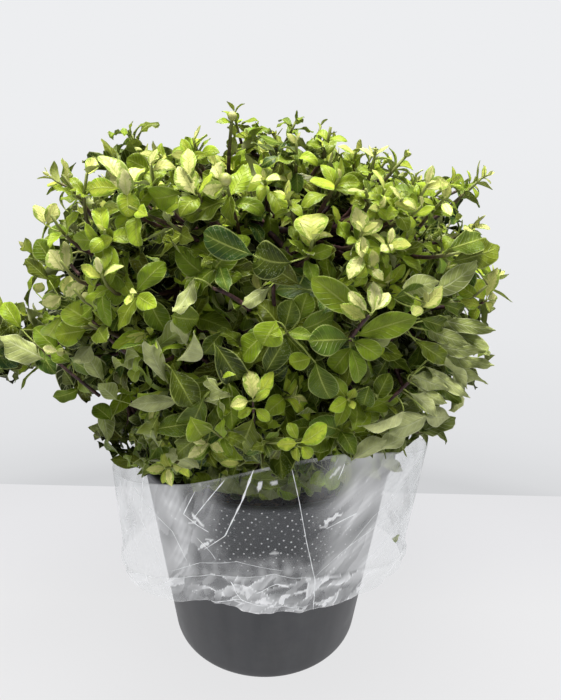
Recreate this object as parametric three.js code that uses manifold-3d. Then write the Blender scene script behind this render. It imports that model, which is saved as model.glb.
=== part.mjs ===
// A potted pittosporum: a round, dense evergreen shrub on one short leader with side boughs, in a
// plain nursery pot filled with potting mix, with a clear film sleeve pushed down round the pot.
// Millimetres, +Z up. The origin is the middle of the pot's flat underside, and -Y is the front.
import * as THREE from "three";
import { mergeVertices } from "three/addons/utils/BufferGeometryUtils.js";
import Module from "manifold-3d";

const wasm = await Module();
wasm.setup();

// Pot and potting mix
const POT_RIM_R = 110;
const POT_BASE_R = 84.5;
const POT_HEIGHT = 182;
const POT_WALL = 2.2;
const POT_FLOOR = 3;
const LIP_HEIGHT = 5.5;
const LIP_OUT = 2.4;
const MIX_TOP = 167;
const CLEAR = 0.3;
const ROUND_STEPS = 44;

// Film sleeve: a loose band round the pot that touches its lip in places and stands off it in folds,
// each with its bearing, the furthest it stands off and how wide it is
const FILM_LOW = 82;
const FILM_THICK = 1.2;
const FILM_CLEAR = 0.8;
const FILM_TOP = 176;
const FILM_PEAK = 55;
const FILM_PEAK_AT = -1.2;
const FILM_PEAK_WIDE = 0.85;
const FILM_STEPS = 66;
const FILM_ROWS = 4;
const FILM_FOLDS = [
  { at: -2.72, out: 26, wide: 0.5 },
  { at: -0.33, out: 23, wide: 0.46 },
  { at: 0.96, out: 18, wide: 0.42 },
  { at: 1.95, out: 24, wide: 0.46 },
];
const FILM_HIGH = FILM_TOP + FILM_PEAK + 4;
const INSIDE_FILM = 3;

// Crown
const CROWN_CENTRE = new THREE.Vector3(0, 0, 300);
const CROWN_R = 177;
const CROWN_UP = 143;
const CROWN_DOWN = 140;
const POWER_UP = 3.5;
const POWER_DOWN = 2.4;
const CROWN_FLOOR = POT_HEIGHT + 4;
const CELL_GAP = 0.8;
const TWIG_GAP = 3;
const CORE_DEPTH = 40;
const HOLLOW_R = 60;
const HOLLOW_MID = 300;
const HOLLOW_UP = 62;
const DOME_STEPS = 3;
const DOME_SIDES = 12;
const CORE_GAP = 3;
const CORE_FLOOR = CROWN_FLOOR + 4;
const SPRAY_CORE = 15;
const TWIG_TIPS = 126;
const SPRAY_TIPS = 8;
const SPRAY_TIP_SHARE = 0.62;
const LOWEST_TIP = -0.68;
const LEAF_TRIES = 7;
const TIP_BACK = 12;
const SEED = 4474;

// Leader and boughs
const LEADER_TOP = 318;
const LEADER_R = 6.4;
const LEADER_TIP_R = 3.2;
const FLARE_R = 10.5;
const BOUGH_R = 3.5;
const BOUGH_TIP_R = 2.2;
const LIMB_SIDES = 6;
const BOUGH_STEPS = 3;
const LEADER_SIDES = 10;
const LEADER_STEPS = 12;
const BEND_SHARE = 0.3;
const LIMB_SAMPLES = 24;
const CUT_BACK = CLEAR + 0.1;

// Twigs and leaves
const STEM_R = 1.9;
const TWIG_R = 1.5;
const TWIG_TIP_R = 1;
const LEAF_LENGTH = 50;
const LEAF_WIDTH = 27;
const LEAF_THICK = 1.7;
const LEAVES_A_TWIG = 3;
const LEAF_STEP = 6;
const LEAF_CLEAR = 1.5;
const LEAF_LIFT = 5;
const LEAF_DROOP = 6;
const FINEST = 0.3;
const SHORTEST = 0.2;
const THINNEST = 0.03;
const MENDS = 4;
const GRID = 0.01;
const RETRIES = 12;
const GOLDEN_ANGLE = Math.PI * (3 - Math.sqrt(5));

const COLOURS = {
  pot: { color: 0x4d4e52, roughness: 0.5, metalness: 0 },
  mix: { color: 0x33261c, roughness: 0.95, metalness: 0 },
  film: { color: 0xeef1f2, roughness: 0.12, metalness: 0, transparent: true, opacity: 0.3 },
  bark: { color: 0x4a332d, roughness: 0.85, metalness: 0 },
  foliage: { color: 0x6d8a2c, roughness: 0.5, metalness: 0 },
};

// Each mass of foliage: its ring's height and distance from the leader, and its bearing, where 0 is
// +X and 90 is +Y, the back. The rings are shared out evenly from a first bearing.
const RINGS = [
  { name: "upper", count: 5, r: 100, z: 376, first: -100, attach: 262, attachStep: 7, rise: 0.4 },
  { name: "middle", count: 7, r: 126, z: 306, first: -64, attach: 216, attachStep: 5.5, rise: 0.9 },
  { name: "lower", count: 6, r: 100, z: 230, first: -90, attach: 186, attachStep: 4.5, rise: 0.6 },
];
const TOP_SEED = new THREE.Vector3(-6, 4, 392);
const SPRAY_SEED = new THREE.Vector3(-208, -34, 282);
const SPRAY_REACH = new THREE.Vector3(52, 46, 50);
const SPRAY_ATTACH = 209;
const SPRAY_RISE = 0.7;

// Sprigs that stand out of the dome: the point each one reaches
const SPRIGS = [
  new THREE.Vector3(-30, 0, 452),
  new THREE.Vector3(38, 12, 444),
  new THREE.Vector3(80, 0, 425),
  new THREE.Vector3(-114, 0, 412),
  new THREE.Vector3(-172, -10, 400),
  new THREE.Vector3(-186, -30, 345),
  new THREE.Vector3(169, 0, 408),
  new THREE.Vector3(176, -30, 333),
  new THREE.Vector3(178, -60, 292),
];
const SPRIG_SPREAD = 0.11;

const vec = (x, y, z) => new THREE.Vector3(x, y, z);

/** Mulberry32: an even random number from 0 to 1 on each call, the same run for the same seed. */
function seededRandom(seed) {
  let state = seed >>> 0;
  return () => {
    state = (state + 0x6d2b79f5) >>> 0;
    let t = Math.imul(state ^ (state >>> 15), state | 1);
    t ^= t + Math.imul(t ^ (t >>> 7), t | 61);
    return ((t ^ (t >>> 14)) >>> 0) / 4294967296;
  };
}

/** A closed three.js geometry as a manifold-3d solid. */
function toSolid(geometry) {
  const bare = geometry.clone();
  bare.deleteAttribute("normal");
  bare.deleteAttribute("uv");
  const merged = mergeVertices(bare, 1e-3);
  return new wasm.Manifold(
    new wasm.Mesh({
      numProp: 3,
      vertProperties: new Float32Array(merged.attributes.position.array),
      triVerts: new Uint32Array(merged.index.array),
    }),
  );
}

/** A solid's largest body as a geometry: loose scraps are dropped, and sealed hollows are filled. The
 * tiny edges and slivers that a join leaves are mended, and its points are moved to a fine grid. It is
 * null if the mesh then isn't closed, as where two leaves touch in a point. */
function toGeometry(solid) {
  const largest = solid
    .decompose()
    .reduce((best, body) => (body.volume() > best.volume() ? body : best));
  const { vertProperties, triVerts } = largest.getMesh();
  const points = [];
  for (let i = 0; i < vertProperties.length; i += 3) points.push(vec(...vertProperties.slice(i, i + 3)));
  let faces = [];
  for (let i = 0; i < triVerts.length; i += 3) faces.push([...triVerts.slice(i, i + 3)]);
  for (let go = 0; go < MENDS; go++) {
    faces = joinShortEdges(points, faces);
    flipSlivers(points, faces);
  }
  for (const point of points) point.divideScalar(GRID).round().multiplyScalar(GRID);
  const firstAt = new Map();
  points.forEach((point, i) => {
    const key = point.toArray().map((value) => value.toFixed(3)).join(" ");
    if (!firstAt.has(key)) firstAt.set(key, i);
    point.first = firstAt.get(key);
  });
  const welded = faces.map((face) => face.map((i) => points[i].first));
  if (!isClosed(welded)) return null;
  return new THREE.BufferGeometry().setFromPoints(points).setIndex(welded.flat());
}

/** For each point, the set of faces that meet there. */
function facesAround(points, faces) {
  const around = points.map(() => new Set());
  for (const face of faces) face.forEach((corner) => around[corner].add(face));
  return around;
}

/** The normal of a face, as long as twice its area. */
function normalOf(points, [a, b, c]) {
  const side = points[b].clone().sub(points[a]);
  return side.cross(points[c].clone().sub(points[a]));
}

/** True if the faces of one point can take another point instead, so that the skin stays closed and no
 * face turns over. */
function canJoin(points, around, keep, drop) {
  const near = [keep, drop].map((point) => new Set([...around[point]].flat()));
  if ([...near[0]].filter((point) => near[1].has(point)).length !== 4) return false;
  return [...around[drop]].every((face) => {
    if (face.includes(keep)) return true;
    const moved = face.map((point) => (point === drop ? keep : point));
    return normalOf(points, face).dot(normalOf(points, moved)) > 0;
  });
}

/** The faces once the ends of each very short edge are one point, wherever that leaves a closed skin. */
function joinShortEdges(points, faces) {
  const around = facesAround(points, faces);
  const join = (keep, drop) => {
    for (const face of [...around[drop]]) {
      if (face.includes(keep)) {
        face.forEach((point) => around[point].delete(face));
      } else {
        face[face.indexOf(drop)] = keep;
        around[keep].add(face);
      }
    }
    around[drop].clear();
  };
  for (const face of faces) {
    for (const corner of [0, 1, 2]) {
      const [a, b] = [face[corner], face[(corner + 1) % 3]];
      if (!around[a].has(face) || points[a].distanceTo(points[b]) >= SHORTEST) continue;
      if (canJoin(points, around, a, b)) join(a, b);
      else if (canJoin(points, around, b, a)) join(b, a);
    }
  }
  return faces.filter((face) => around[face[0]].has(face));
}

/** The smallest height of a triangle, which is over its longest side, and where that side starts. */
function leastHeight(points, face) {
  const lengths = face.map((from, corner) => points[from].distanceTo(points[face[(corner + 1) % 3]]));
  const longest = Math.max(...lengths);
  return { height: normalOf(points, face).length() / longest, start: lengths.indexOf(longest) };
}

/** Turns the longest side of each sliver, in the faces given, to cross it and the face beyond that side. */
function flipSlivers(points, faces) {
  const around = facesAround(points, faces);
  for (const face of faces) {
    const { height, start } = leastHeight(points, face);
    if (height >= THINNEST) continue;
    const [a, b, c] = [0, 1, 2].map((corner) => face[(start + corner) % 3]);
    const other = [...around[a]].find((beside) => beside !== face && beside.includes(b));
    const d = other.find((point) => point !== a && point !== b);
    if ([...around[c]].some((beside) => beside.includes(d))) continue;
    const [first, second] = [[c, a, d], [d, b, c]];
    if (Math.min(leastHeight(points, first).height, leastHeight(points, second).height) <= height) continue;
    around[b].delete(face);
    around[d].add(face);
    around[a].delete(other);
    around[c].add(other);
    face.splice(0, 3, ...first);
    other.splice(0, 3, ...second);
  }
}

/** True if each edge is run along once in each of its two ways, by the faces on its two sides. */
function isClosed(faces) {
  const runs = faces.flatMap(([a, b, c]) => [[a, b], [b, c], [c, a]]);
  const once = new Set(runs.map(([from, to]) => `${from} ${to}`));
  return once.size === runs.length && runs.every(([from, to]) => once.has(`${to} ${from}`));
}

/** A limb that tapers along a curve: a cylinder whose rings are moved onto the curve. */
function limb(curve, radiusAt, sides, steps) {
  const geometry = new THREE.CylinderGeometry(1, 1, 1, sides, steps);
  const frames = curve.computeFrenetFrames(steps, false);
  const at = geometry.attributes.position;
  for (let i = 0; i < at.count; i++) {
    const t = at.getY(i) + 0.5;
    const ring = Math.round(t * steps);
    const r = radiusAt(t);
    const middle = curve.getPointAt(t);
    middle.addScaledVector(frames.normals[ring], at.getX(i) * r);
    middle.addScaledVector(frames.binormals[ring], -at.getZ(i) * r);
    at.setXYZ(i, middle.x, middle.y, middle.z);
  }
  const solid = toSolid(geometry);
  return solid.volume() < 0 ? toSolid(turned(geometry)) : solid;
}

/** The same geometry with its faces turned round. */
function turned(geometry) {
  const index = geometry.index.array;
  for (let i = 0; i < index.length; i += 3) {
    [index[i + 1], index[i + 2]] = [index[i + 2], index[i + 1]];
  }
  return geometry;
}

/** How far the crown reaches from its centre in a direction: a rounded box of a dome, with lobes. */
function crownReach(direction) {
  const { x, y, z } = direction;
  const flat = Math.hypot(x, y);
  const bearing = Math.atan2(y, x);
  const half = z > 0 ? CROWN_UP : CROWN_DOWN;
  const power = z > 0 ? POWER_UP : POWER_DOWN;
  const ratio = (flat / CROWN_R) ** power + (Math.abs(z) / half) ** power;
  const lobes =
    0.025 * Math.cos(3 * bearing + 0.6) * flat +
    0.02 * Math.cos(5 * bearing - 1.1) * flat * (1 + z) +
    0.025 * Math.cos(2 * bearing + 2.4) * z;
  const dome = ratio ** (-1 / power) * (1 + lobes);
  let reach = dome;
  for (const sprig of SPRIGS) {
    const from = sprig.clone().sub(CROWN_CENTRE);
    const length = from.length();
    const off = from.divideScalar(length).distanceTo(direction) / SPRIG_SPREAD;
    reach = Math.max(reach, dome + (length - dome) * Math.exp(-off * off));
  }
  return reach;
}

/** Outer radius of the pot's wall at a height, carried on above the rim. */
function potOuter(z) {
  return POT_BASE_R + ((POT_RIM_R - LIP_OUT - POT_BASE_R) * z) / POT_HEIGHT;
}

/** The angle from one bearing to another, between minus and plus half a turn. */
function turnBetween(from, to) {
  return Math.atan2(Math.sin(to - from), Math.cos(to - from));
}

/** Radius of the film's middle at a bearing and height: along the pot's wall, off it in the folds. */
function filmRadius(bearing, z) {
  const share = THREE.MathUtils.clamp((z - FILM_LOW) / (FILM_TOP - FILM_LOW), 0, 1);
  let off = LIP_OUT + FILM_CLEAR + FILM_THICK / 2;
  for (const fold of FILM_FOLDS) {
    off += fold.out * (0.9 + 0.1 * share) * Math.exp(-((turnBetween(fold.at, bearing) / fold.wide) ** 2));
  }
  return potOuter(z) + off;
}

/** Height of the film's upper edge at a bearing: highest a little right of the front. */
function filmTop(bearing) {
  const off = turnBetween(FILM_PEAK_AT, bearing) / FILM_PEAK_WIDE;
  return FILM_TOP + FILM_PEAK * Math.exp(-off * off) + 4 * Math.cos(3 * bearing + 0.5);
}

/** The pot: a tapered wall on a flat floor, with a narrow rolled lip. */
function potGeometry() {
  const profile = [
    [0, 0],
    [POT_BASE_R - 2.5, 0],
    [POT_BASE_R, 2.5],
    [potOuter(POT_HEIGHT - LIP_HEIGHT), POT_HEIGHT - LIP_HEIGHT],
    [POT_RIM_R, POT_HEIGHT - LIP_HEIGHT + 1],
    [POT_RIM_R, POT_HEIGHT - 1],
    [POT_RIM_R - 1, POT_HEIGHT],
    [potOuter(POT_HEIGHT) - POT_WALL, POT_HEIGHT],
    [potOuter(POT_FLOOR) - POT_WALL, POT_FLOOR],
    [0, POT_FLOOR],
  ].map(([r, z]) => new THREE.Vector2(r, z));
  return lathe(profile);
}

/** The potting mix that fills the pot to just under its lip. */
function mixGeometry() {
  const foot = POT_FLOOR + CLEAR;
  const profile = [
    [0, foot],
    [potOuter(foot) - POT_WALL - 2 * CLEAR, foot],
    [potOuter(MIX_TOP) - POT_WALL - 2 * CLEAR, MIX_TOP],
    [0, MIX_TOP],
  ].map(([r, z]) => new THREE.Vector2(r, z));
  return lathe(profile);
}

/** A profile spun round Z. The lathe spins round Y, so the result is stood up. */
function lathe(profile, steps = ROUND_STEPS) {
  return new THREE.LatheGeometry(profile, steps).rotateX(Math.PI / 2);
}

/** The film band: a lathed ring of wall, whose points are then moved to the film's own radius. With
 * a margin it is thicker and taller by that much all round, and it can be given an outer radius. */
function filmGeometry(margin = 0, outerR = 0) {
  const wall = [];
  for (let row = 0; row <= FILM_ROWS; row++) wall.push(new THREE.Vector2(2, row / FILM_ROWS));
  for (let row = FILM_ROWS; row >= 0; row--) wall.push(new THREE.Vector2(1, row / FILM_ROWS));
  wall.push(wall[0].clone());
  const geometry = lathe(wall, FILM_STEPS);
  const at = geometry.attributes.position;
  for (let i = 0; i < at.count; i++) {
    const bearing = Math.atan2(at.getY(i), at.getX(i));
    const outside = Math.hypot(at.getX(i), at.getY(i)) > 1.5;
    const z = FILM_LOW - margin + (filmTop(bearing) + 2 * margin - FILM_LOW) * at.getZ(i);
    const own = filmRadius(bearing, z) + (outside ? 1 : -1) * (FILM_THICK / 2 + margin);
    const r = outside && outerR ? outerR : own;
    at.setXYZ(i, r * Math.cos(bearing), r * Math.sin(bearing), z);
  }
  return geometry;
}

/** The leader: from a flat cut on the mix, flared at its foot, leaning a little to its tip. */
function leaderCurve() {
  return new THREE.CatmullRomCurve3([
    vec(1, 2, MIX_TOP + CLEAR),
    vec(1, 2, MIX_TOP + 12),
    vec(3, -1, 222),
    vec(-2, 3, 272),
    vec(-4, 3, LEADER_TOP),
  ]);
}

function leaderRadius(t) {
  return LEADER_R + (LEADER_TIP_R - LEADER_R) * t + (FLARE_R - LEADER_R) * Math.exp(-t * 14);
}

/** The point of the leader at a height. */
function onLeader(curve, height) {
  const t = (height - MIX_TOP - CLEAR) / (LEADER_TOP - MIX_TOP - CLEAR);
  return curve.getPointAt(THREE.MathUtils.clamp(t, 0, 1));
}

/** Every mass with its seed point, the reach of its space, and where its bough leaves the leader. */
function plan(leader) {
  const masses = [];
  for (const ring of RINGS) {
    for (let i = 0; i < ring.count; i++) {
      const bearing = THREE.MathUtils.degToRad(ring.first + (360 / ring.count) * i);
      const seed = vec(ring.r * Math.cos(bearing), ring.r * Math.sin(bearing), ring.z);
      const attach = onLeader(leader, ring.attach + ring.attachStep * ((i * 3) % ring.count));
      masses.push({ name: `${ring.name}_${i + 1}`, seed, attach, rise: ring.rise });
    }
  }
  masses.push({ name: "top", seed: TOP_SEED, attach: null });
  const attach = onLeader(leader, SPRAY_ATTACH);
  masses.push({ name: "left_spray", seed: SPRAY_SEED, attach, rise: SPRAY_RISE, reach: SPRAY_REACH });
  for (const mass of masses) mass.walls = wallsOf(mass, masses);
  return masses;
}

/** A bough's curve: out of the leader, rising, and on to the near side of its mass's core. */
function boughCurve({ attach, seed, rise, reach }) {
  const bend = attach.clone().lerp(seed, BEND_SHARE);
  bend.z = attach.z + rise * (seed.z - attach.z);
  const step = bend.clone().sub(seed).normalize();
  const room = (point) => (reach ? point.distanceTo(seed) > SPRAY_CORE + CORE_GAP : inHollow(point));
  const end = seed.clone();
  for (let far = 0; far < CROWN_R && !room(end); far++) end.add(step);
  return new THREE.QuadraticBezierCurve3(attach, bend, end);
}

/** True if a point lies in the open middle of the crown, a domed column that the cores leave free. */
function inHollow({ x, y, z }) {
  const up = Math.max(0, z - HOLLOW_MID) / (HOLLOW_UP - CORE_GAP);
  return Math.hypot(Math.hypot(x, y) / (HOLLOW_R - CORE_GAP), up) < 1;
}

/** True if a point lies in a mass's own space: nearest to its seed, in reach, over pot and film. */
function inSpace(point, mass, margin = CELL_GAP) {
  for (const wall of mass.walls) {
    if (point.dot(wall.normal) > wall.level - margin) return false;
  }
  const flat = Math.hypot(point.x, point.y);
  const bearing = Math.atan2(point.y, point.x);
  const outside = flat > filmRadius(bearing, point.z) - INSIDE_FILM;
  if (point.z < (outside ? filmTop(bearing) + INSIDE_FILM : CROWN_FLOOR)) return false;
  if (mass.reach) return point.clone().sub(mass.seed).divide(mass.reach).length() < 1;
  const from = point.clone().sub(CROWN_CENTRE);
  const length = from.length();
  return length < crownReach(from.divideScalar(length));
}

/** The planes half way between a mass's seed and each other seed, facing out. */
function wallsOf(mass, masses) {
  return masses
    .filter((other) => other !== mass)
    .map((other) => {
      const normal = other.seed.clone().sub(mass.seed).normalize();
      const level = other.seed.clone().add(mass.seed).multiplyScalar(0.5).dot(normal);
      return { normal, level };
    });
}

/** How far a point lies outside the nearest limb, less than zero if it is inside one. */
function clearOfLimbs(point, limbs) {
  let least = Infinity;
  for (const { samples } of limbs) {
    for (const { at, r } of samples) least = Math.min(least, at.distanceTo(point) - r);
  }
  return least;
}

/** Tips of the twigs: a spiral of even directions, each set back from the crown's outline, and drawn
 * further back where the film is in the way. */
function twigTips(mass) {
  const random = seededRandom(SEED);
  const tips = [];
  const count = mass.reach ? SPRAY_TIPS : TWIG_TIPS;
  for (let i = 0; i < count; i++) {
    const height = 1 - (1 - LOWEST_TIP) * ((i + 0.5) / count);
    const flat = Math.sqrt(1 - height * height);
    const direction = vec(flat * Math.cos(i * GOLDEN_ANGLE), flat * Math.sin(i * GOLDEN_ANGLE), height);
    const setBack = TIP_BACK * (1.2 + random());
    const far = mass.reach ? 0 : crownReach(direction) - setBack;
    const tip = direction.clone().multiplyScalar(far).add(CROWN_CENTRE);
    if (mass.reach) tip.copy(direction).multiply(mass.reach).multiplyScalar(SPRAY_TIP_SHARE).add(mass.seed);
    const blocked = () => !mass.reach && tip.z < FILM_HIGH && Math.hypot(tip.x, tip.y) > filmInside(tip);
    for (let go = 0; go < 4 && blocked(); go++) tip.addScaledVector(direction, -TIP_BACK);
    if (inSpace(tip, mass, TWIG_GAP)) tips.push({ tip, direction });
  }
  return tips;
}

/** How far from the axis a point at this bearing and height may be and still be inside the film. */
function filmInside({ x, y, z }) {
  return filmRadius(Math.atan2(y, x), z) - INSIDE_FILM;
}

/** One leaf: a flattened octahedron, widest past its middle, its sides lifted and its tip bent down. */
function leaf(root, along, face, size) {
  const geometry = new THREE.OctahedronGeometry(1);
  geometry.scale(0.5 * LEAF_LENGTH * size, 0.5 * LEAF_WIDTH * size, 0.5 * LEAF_THICK);
  geometry.translate(0.5 * LEAF_LENGTH * size, 0, 0);
  const at = geometry.attributes.position;
  for (let i = 0; i < at.count; i++) {
    const x = at.getX(i);
    const side = Math.abs(at.getY(i)) / (LEAF_WIDTH * size);
    const tip = x / (LEAF_LENGTH * size);
    const bend = side * LEAF_LIFT - (tip > 0.9 ? LEAF_DROOP : 0);
    at.setX(i, x + side * 3 * size);
    at.setZ(i, at.getZ(i) + bend * size);
  }
  const across = new THREE.Vector3().crossVectors(face, along).normalize();
  const up = new THREE.Vector3().crossVectors(along, across).normalize();
  geometry.applyMatrix4(new THREE.Matrix4().makeBasis(along, across, up));
  geometry.translate(root.x, root.y, root.z);
  return geometry;
}

/** The leaves of one twig, in a spiral on its outer part. A leaf that would leave the space is
 * turned on round the twig a few times, then made smaller, and left out if it never fits. */
function leavesOf(curve, mass, limbs, random) {
  const leaves = [];
  for (let i = 0; i < LEAVES_A_TWIG; i++) {
    const share = 1 - (1.5 + LEAF_STEP * i) / curve.getLength();
    const root = curve.getPointAt(share);
    const ahead = curve.getTangentAt(share);
    const side = new THREE.Vector3().crossVectors(ahead, vec(0.3, 0.2, 1)).normalize();
    side.applyAxisAngle(ahead, i * GOLDEN_ANGLE + 6 * random());
    const size = (0.85 + 0.3 * random()) * (i === 0 ? 0.85 : 1);
    for (let go = 0; go < LEAF_TRIES; go++) {
      side.applyAxisAngle(ahead, (2 * Math.PI) / LEAF_TRIES);
      const open = 0.75 + 0.35 * (i / LEAVES_A_TWIG) + 0.11 * go;
      const along = ahead.clone().multiplyScalar(Math.cos(open)).addScaledVector(side, Math.sin(open));
      const face = ahead.clone().addScaledVector(side, -0.25);
      const smaller = go < LEAF_TRIES - 2 ? 1 : 0.75;
      const geometry = leaf(root.clone().addScaledVector(along, -1.3), along, face, size * smaller);
      if (!leafFits(geometry, root, mass, limbs)) continue;
      leaves.push(toSolid(geometry));
      break;
    }
  }
  return leaves;
}

/** True if a leaf's corners and the middles between them stay in the space and clear of limbs. */
function leafFits(geometry, root, mass, limbs) {
  const at = geometry.attributes.position;
  const point = vec(0, 0, 0);
  for (let i = 0; i < at.count; i++) {
    point.fromBufferAttribute(at, i);
    if (!inSpace(point, mass) || clearOfLimbs(point, limbs) < LEAF_CLEAR) return false;
    if (clearOfLimbs(point.lerp(root, 0.5), limbs) < LEAF_CLEAR) return false;
  }
  return true;
}

/** One mass: a stem on from its bough, a core, and twigs with leaves, all fused. Where a leaf just
 * grazes another, the join may not close, and the mass is grown again from the next seed. */
function foliage(mass, limbs, film, shell, index) {
  for (let go = 0; go < RETRIES; go++) {
    const geometry = grow(mass, limbs, film, shell, seededRandom(SEED + 31 * index + go));
    if (geometry) return geometry;
  }
  throw new Error(`${mass.name} never closed`);
}

/** A mass grown once from a run of random numbers, or null if its join doesn't close. */
function grow(mass, limbs, film, shell, random) {
  const inner = mass.start.point.clone().addScaledVector(mass.start.way, CLEAR);
  const stem = new THREE.LineCurve3(inner, mass.seed);
  const parts = [limb(stem, () => STEM_R, LIMB_SIDES, 1), coreOf(mass, shell)];
  for (const { tip, direction } of twigTips(mass)) {
    const root = stem.getPointAt(0.8 + 0.2 * random());
    const bend = root.clone().lerp(tip, 0.5).addScaledVector(direction, 4 - 9 * random());
    const curve = new THREE.QuadraticBezierCurve3(root, bend, tip);
    if (![0.3, 0.5, 0.7, 0.9].every((t) => inSpace(curve.getPointAt(t), mass, TWIG_GAP))) continue;
    parts.push(limb(curve, (t) => TWIG_R + (TWIG_TIP_R - TWIG_R) * t, 3, 2));
    parts.push(...leavesOf(curve, mass, limbs, random));
  }
  let joined = wasm.Manifold.union(parts);
  for (const near of [...limbs, film]) joined = joined.subtract(near.guard);
  return toGeometry(joined.asOriginal().simplify(FINEST));
}

/** The dense inside of a mass: its own piece of the crown's shell, or a ball in the spray. */
function coreOf(mass, shell) {
  if (mass.reach) {
    const ball = new THREE.IcosahedronGeometry(SPRAY_CORE, 1);
    return toSolid(ball.translate(...mass.seed.toArray()));
  }
  let core = shell;
  for (const { normal, level } of mass.walls) {
    core = core.trimByPlane(normal.clone().negate().toArray(), CORE_GAP - level);
  }
  return core;
}

/** A closed ball of the crown's shape, whose radius in each direction is a function of its reach. */
function crownBall(radiusOf, detail) {
  const ball = new THREE.IcosahedronGeometry(1, detail);
  const at = ball.attributes.position;
  const direction = vec(0, 0, 0);
  for (let i = 0; i < at.count; i++) {
    direction.fromBufferAttribute(at, i).normalize();
    const r = radiusOf(crownReach(direction));
    const { x, y, z } = CROWN_CENTRE;
    at.setXYZ(i, x + direction.x * r, y + direction.y * r, z + direction.z * r);
  }
  return toSolid(ball);
}

/** The shell of the crown that the cores share: inside its outline, round an open middle, over the
 * potting mix and clear of the film. */
function coreShell() {
  const outer = crownBall((reach) => reach - CORE_DEPTH, 2);
  const dome = [new THREE.Vector2(0, POT_HEIGHT), new THREE.Vector2(HOLLOW_R, POT_HEIGHT)];
  for (let i = 0; i <= DOME_STEPS; i++) {
    const turn = (i / DOME_STEPS) * (Math.PI / 2);
    dome.push(new THREE.Vector2(HOLLOW_R * Math.cos(turn), HOLLOW_MID + HOLLOW_UP * Math.sin(turn)));
  }
  dome[dome.length - 1].x = 0;
  return outer
    .subtract(toSolid(lathe(dome, DOME_SIDES)))
    .trimByPlane([0, 0, 1], CORE_FLOOR)
    .subtract(toSolid(filmGeometry(INSIDE_FILM, 2 * CROWN_R)));
}

/** A limb's solid with its samples, and the slightly larger solid that its neighbours are cut to. */
function makeLimb(name, curve, radiusAt, sides, steps) {
  const samples = [];
  for (let i = 0; i <= LIMB_SAMPLES; i++) {
    const t = i / LIMB_SAMPLES;
    samples.push({ at: curve.getPointAt(t), r: radiusAt(t) });
  }
  const solid = limb(curve, radiusAt, sides, steps);
  const guard = limb(curve, (t) => radiusAt(t) + CUT_BACK, sides, steps);
  return { name, samples, solid, guard };
}

/** Radius of a bough at a share of its length. */
function boughRadius(t) {
  return BOUGH_R + (BOUGH_TIP_R - BOUGH_R) * t;
}

/** The leader and a bough for each mass but the top one, each bough cut clear of the limbs before it. */
function makeLimbs(masses, leader) {
  const limbs = [makeLimb("trunk", leader, leaderRadius, LEADER_SIDES, LEADER_STEPS)];
  for (const mass of masses) {
    const curve = mass.attach ? boughCurve(mass) : leader;
    mass.start = { point: curve.getPointAt(1), way: curve.getTangentAt(1) };
    if (!mass.attach) continue;
    const bough = makeLimb(`bough_${mass.name}`, curve, boughRadius, LIMB_SIDES, BOUGH_STEPS);
    for (const earlier of limbs) bough.solid = bough.solid.subtract(earlier.guard);
    limbs.push(bough);
  }
  return limbs;
}

function build() {
  const group = new THREE.Group();
  const materials = {};
  for (const [name, look] of Object.entries(COLOURS)) materials[name] = new THREE.MeshStandardMaterial(look);
  const add = (name, geometry, material) => {
    const mesh = new THREE.Mesh(geometry, material);
    mesh.name = name;
    group.add(mesh);
  };
  add("pot", potGeometry(), materials.pot);
  add("potting_mix", mixGeometry(), materials.mix);
  add("film_sleeve", filmGeometry(), materials.film);

  const leader = leaderCurve();
  const masses = plan(leader);
  const limbs = makeLimbs(masses, leader);
  for (const { name, solid } of limbs) add(name, toGeometry(solid), materials.bark);
  const film = { guard: toSolid(filmGeometry(CUT_BACK)) };
  const shell = coreShell();
  masses.forEach((mass, index) => {
    add(`foliage_${mass.name}`, foliage(mass, limbs, film, shell, index), materials.foliage);
  });
  return group;
}

export default build();
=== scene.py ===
"""The looks of a potted pittosporum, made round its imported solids: leaves, twigs, bark, pot, mix and film.

Lengths are in millimetres until a mesh is made, and the axes are the part's own: +Z up, -Y the front.
"""

import math

import bpy
import numpy as np
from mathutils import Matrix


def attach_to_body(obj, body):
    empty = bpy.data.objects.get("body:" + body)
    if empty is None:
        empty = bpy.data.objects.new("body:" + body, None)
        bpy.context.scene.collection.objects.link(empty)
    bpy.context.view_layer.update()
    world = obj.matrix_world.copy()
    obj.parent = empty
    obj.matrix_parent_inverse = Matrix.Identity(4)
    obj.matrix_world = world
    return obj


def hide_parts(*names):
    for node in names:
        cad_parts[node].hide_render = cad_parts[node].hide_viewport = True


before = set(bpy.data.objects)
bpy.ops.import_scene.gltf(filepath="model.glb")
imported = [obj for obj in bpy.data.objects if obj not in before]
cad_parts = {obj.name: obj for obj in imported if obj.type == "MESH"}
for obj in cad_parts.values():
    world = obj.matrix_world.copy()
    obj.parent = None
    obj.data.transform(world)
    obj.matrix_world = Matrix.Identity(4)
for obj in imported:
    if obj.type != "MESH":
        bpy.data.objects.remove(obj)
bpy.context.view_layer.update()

MM = 0.001
GOLDEN_ANGLE = math.pi * (3 - math.sqrt(5))
RANDOM = np.random.default_rng(4474)

# Pot and potting mix
POT_RIM_R = 110
POT_BASE_R = 84.5
POT_HEIGHT = 182
POT_WALL = 2.2
POT_FLOOR = 3
LIP_HEIGHT = 5.5
LIP_OUT = 2.4
MIX_TOP = 166

# Film sleeve: each fold has its bearing, how far it stands off the pot half way up, how wide it is,
# and how much straighter than the pot it hangs
FILM_LOW = 82
FILM_CLEAR = 0.8
FILM_HALF_WALL = 0.6
FILM_SKIN = 0.12
FILM_TOP = 176
FILM_PEAK = 55
FILM_PEAK_AT = -1.2
FILM_PEAK_WIDE = 0.85
FILM_HALF_WAY = 128
FILM_FOLDS = ((-2.72, 26, 0.5, 0.12), (-0.33, 23, 0.46, 0.03), (0.96, 18, 0.42, 0.03), (1.95, 24, 0.46, 0.03))
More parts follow.
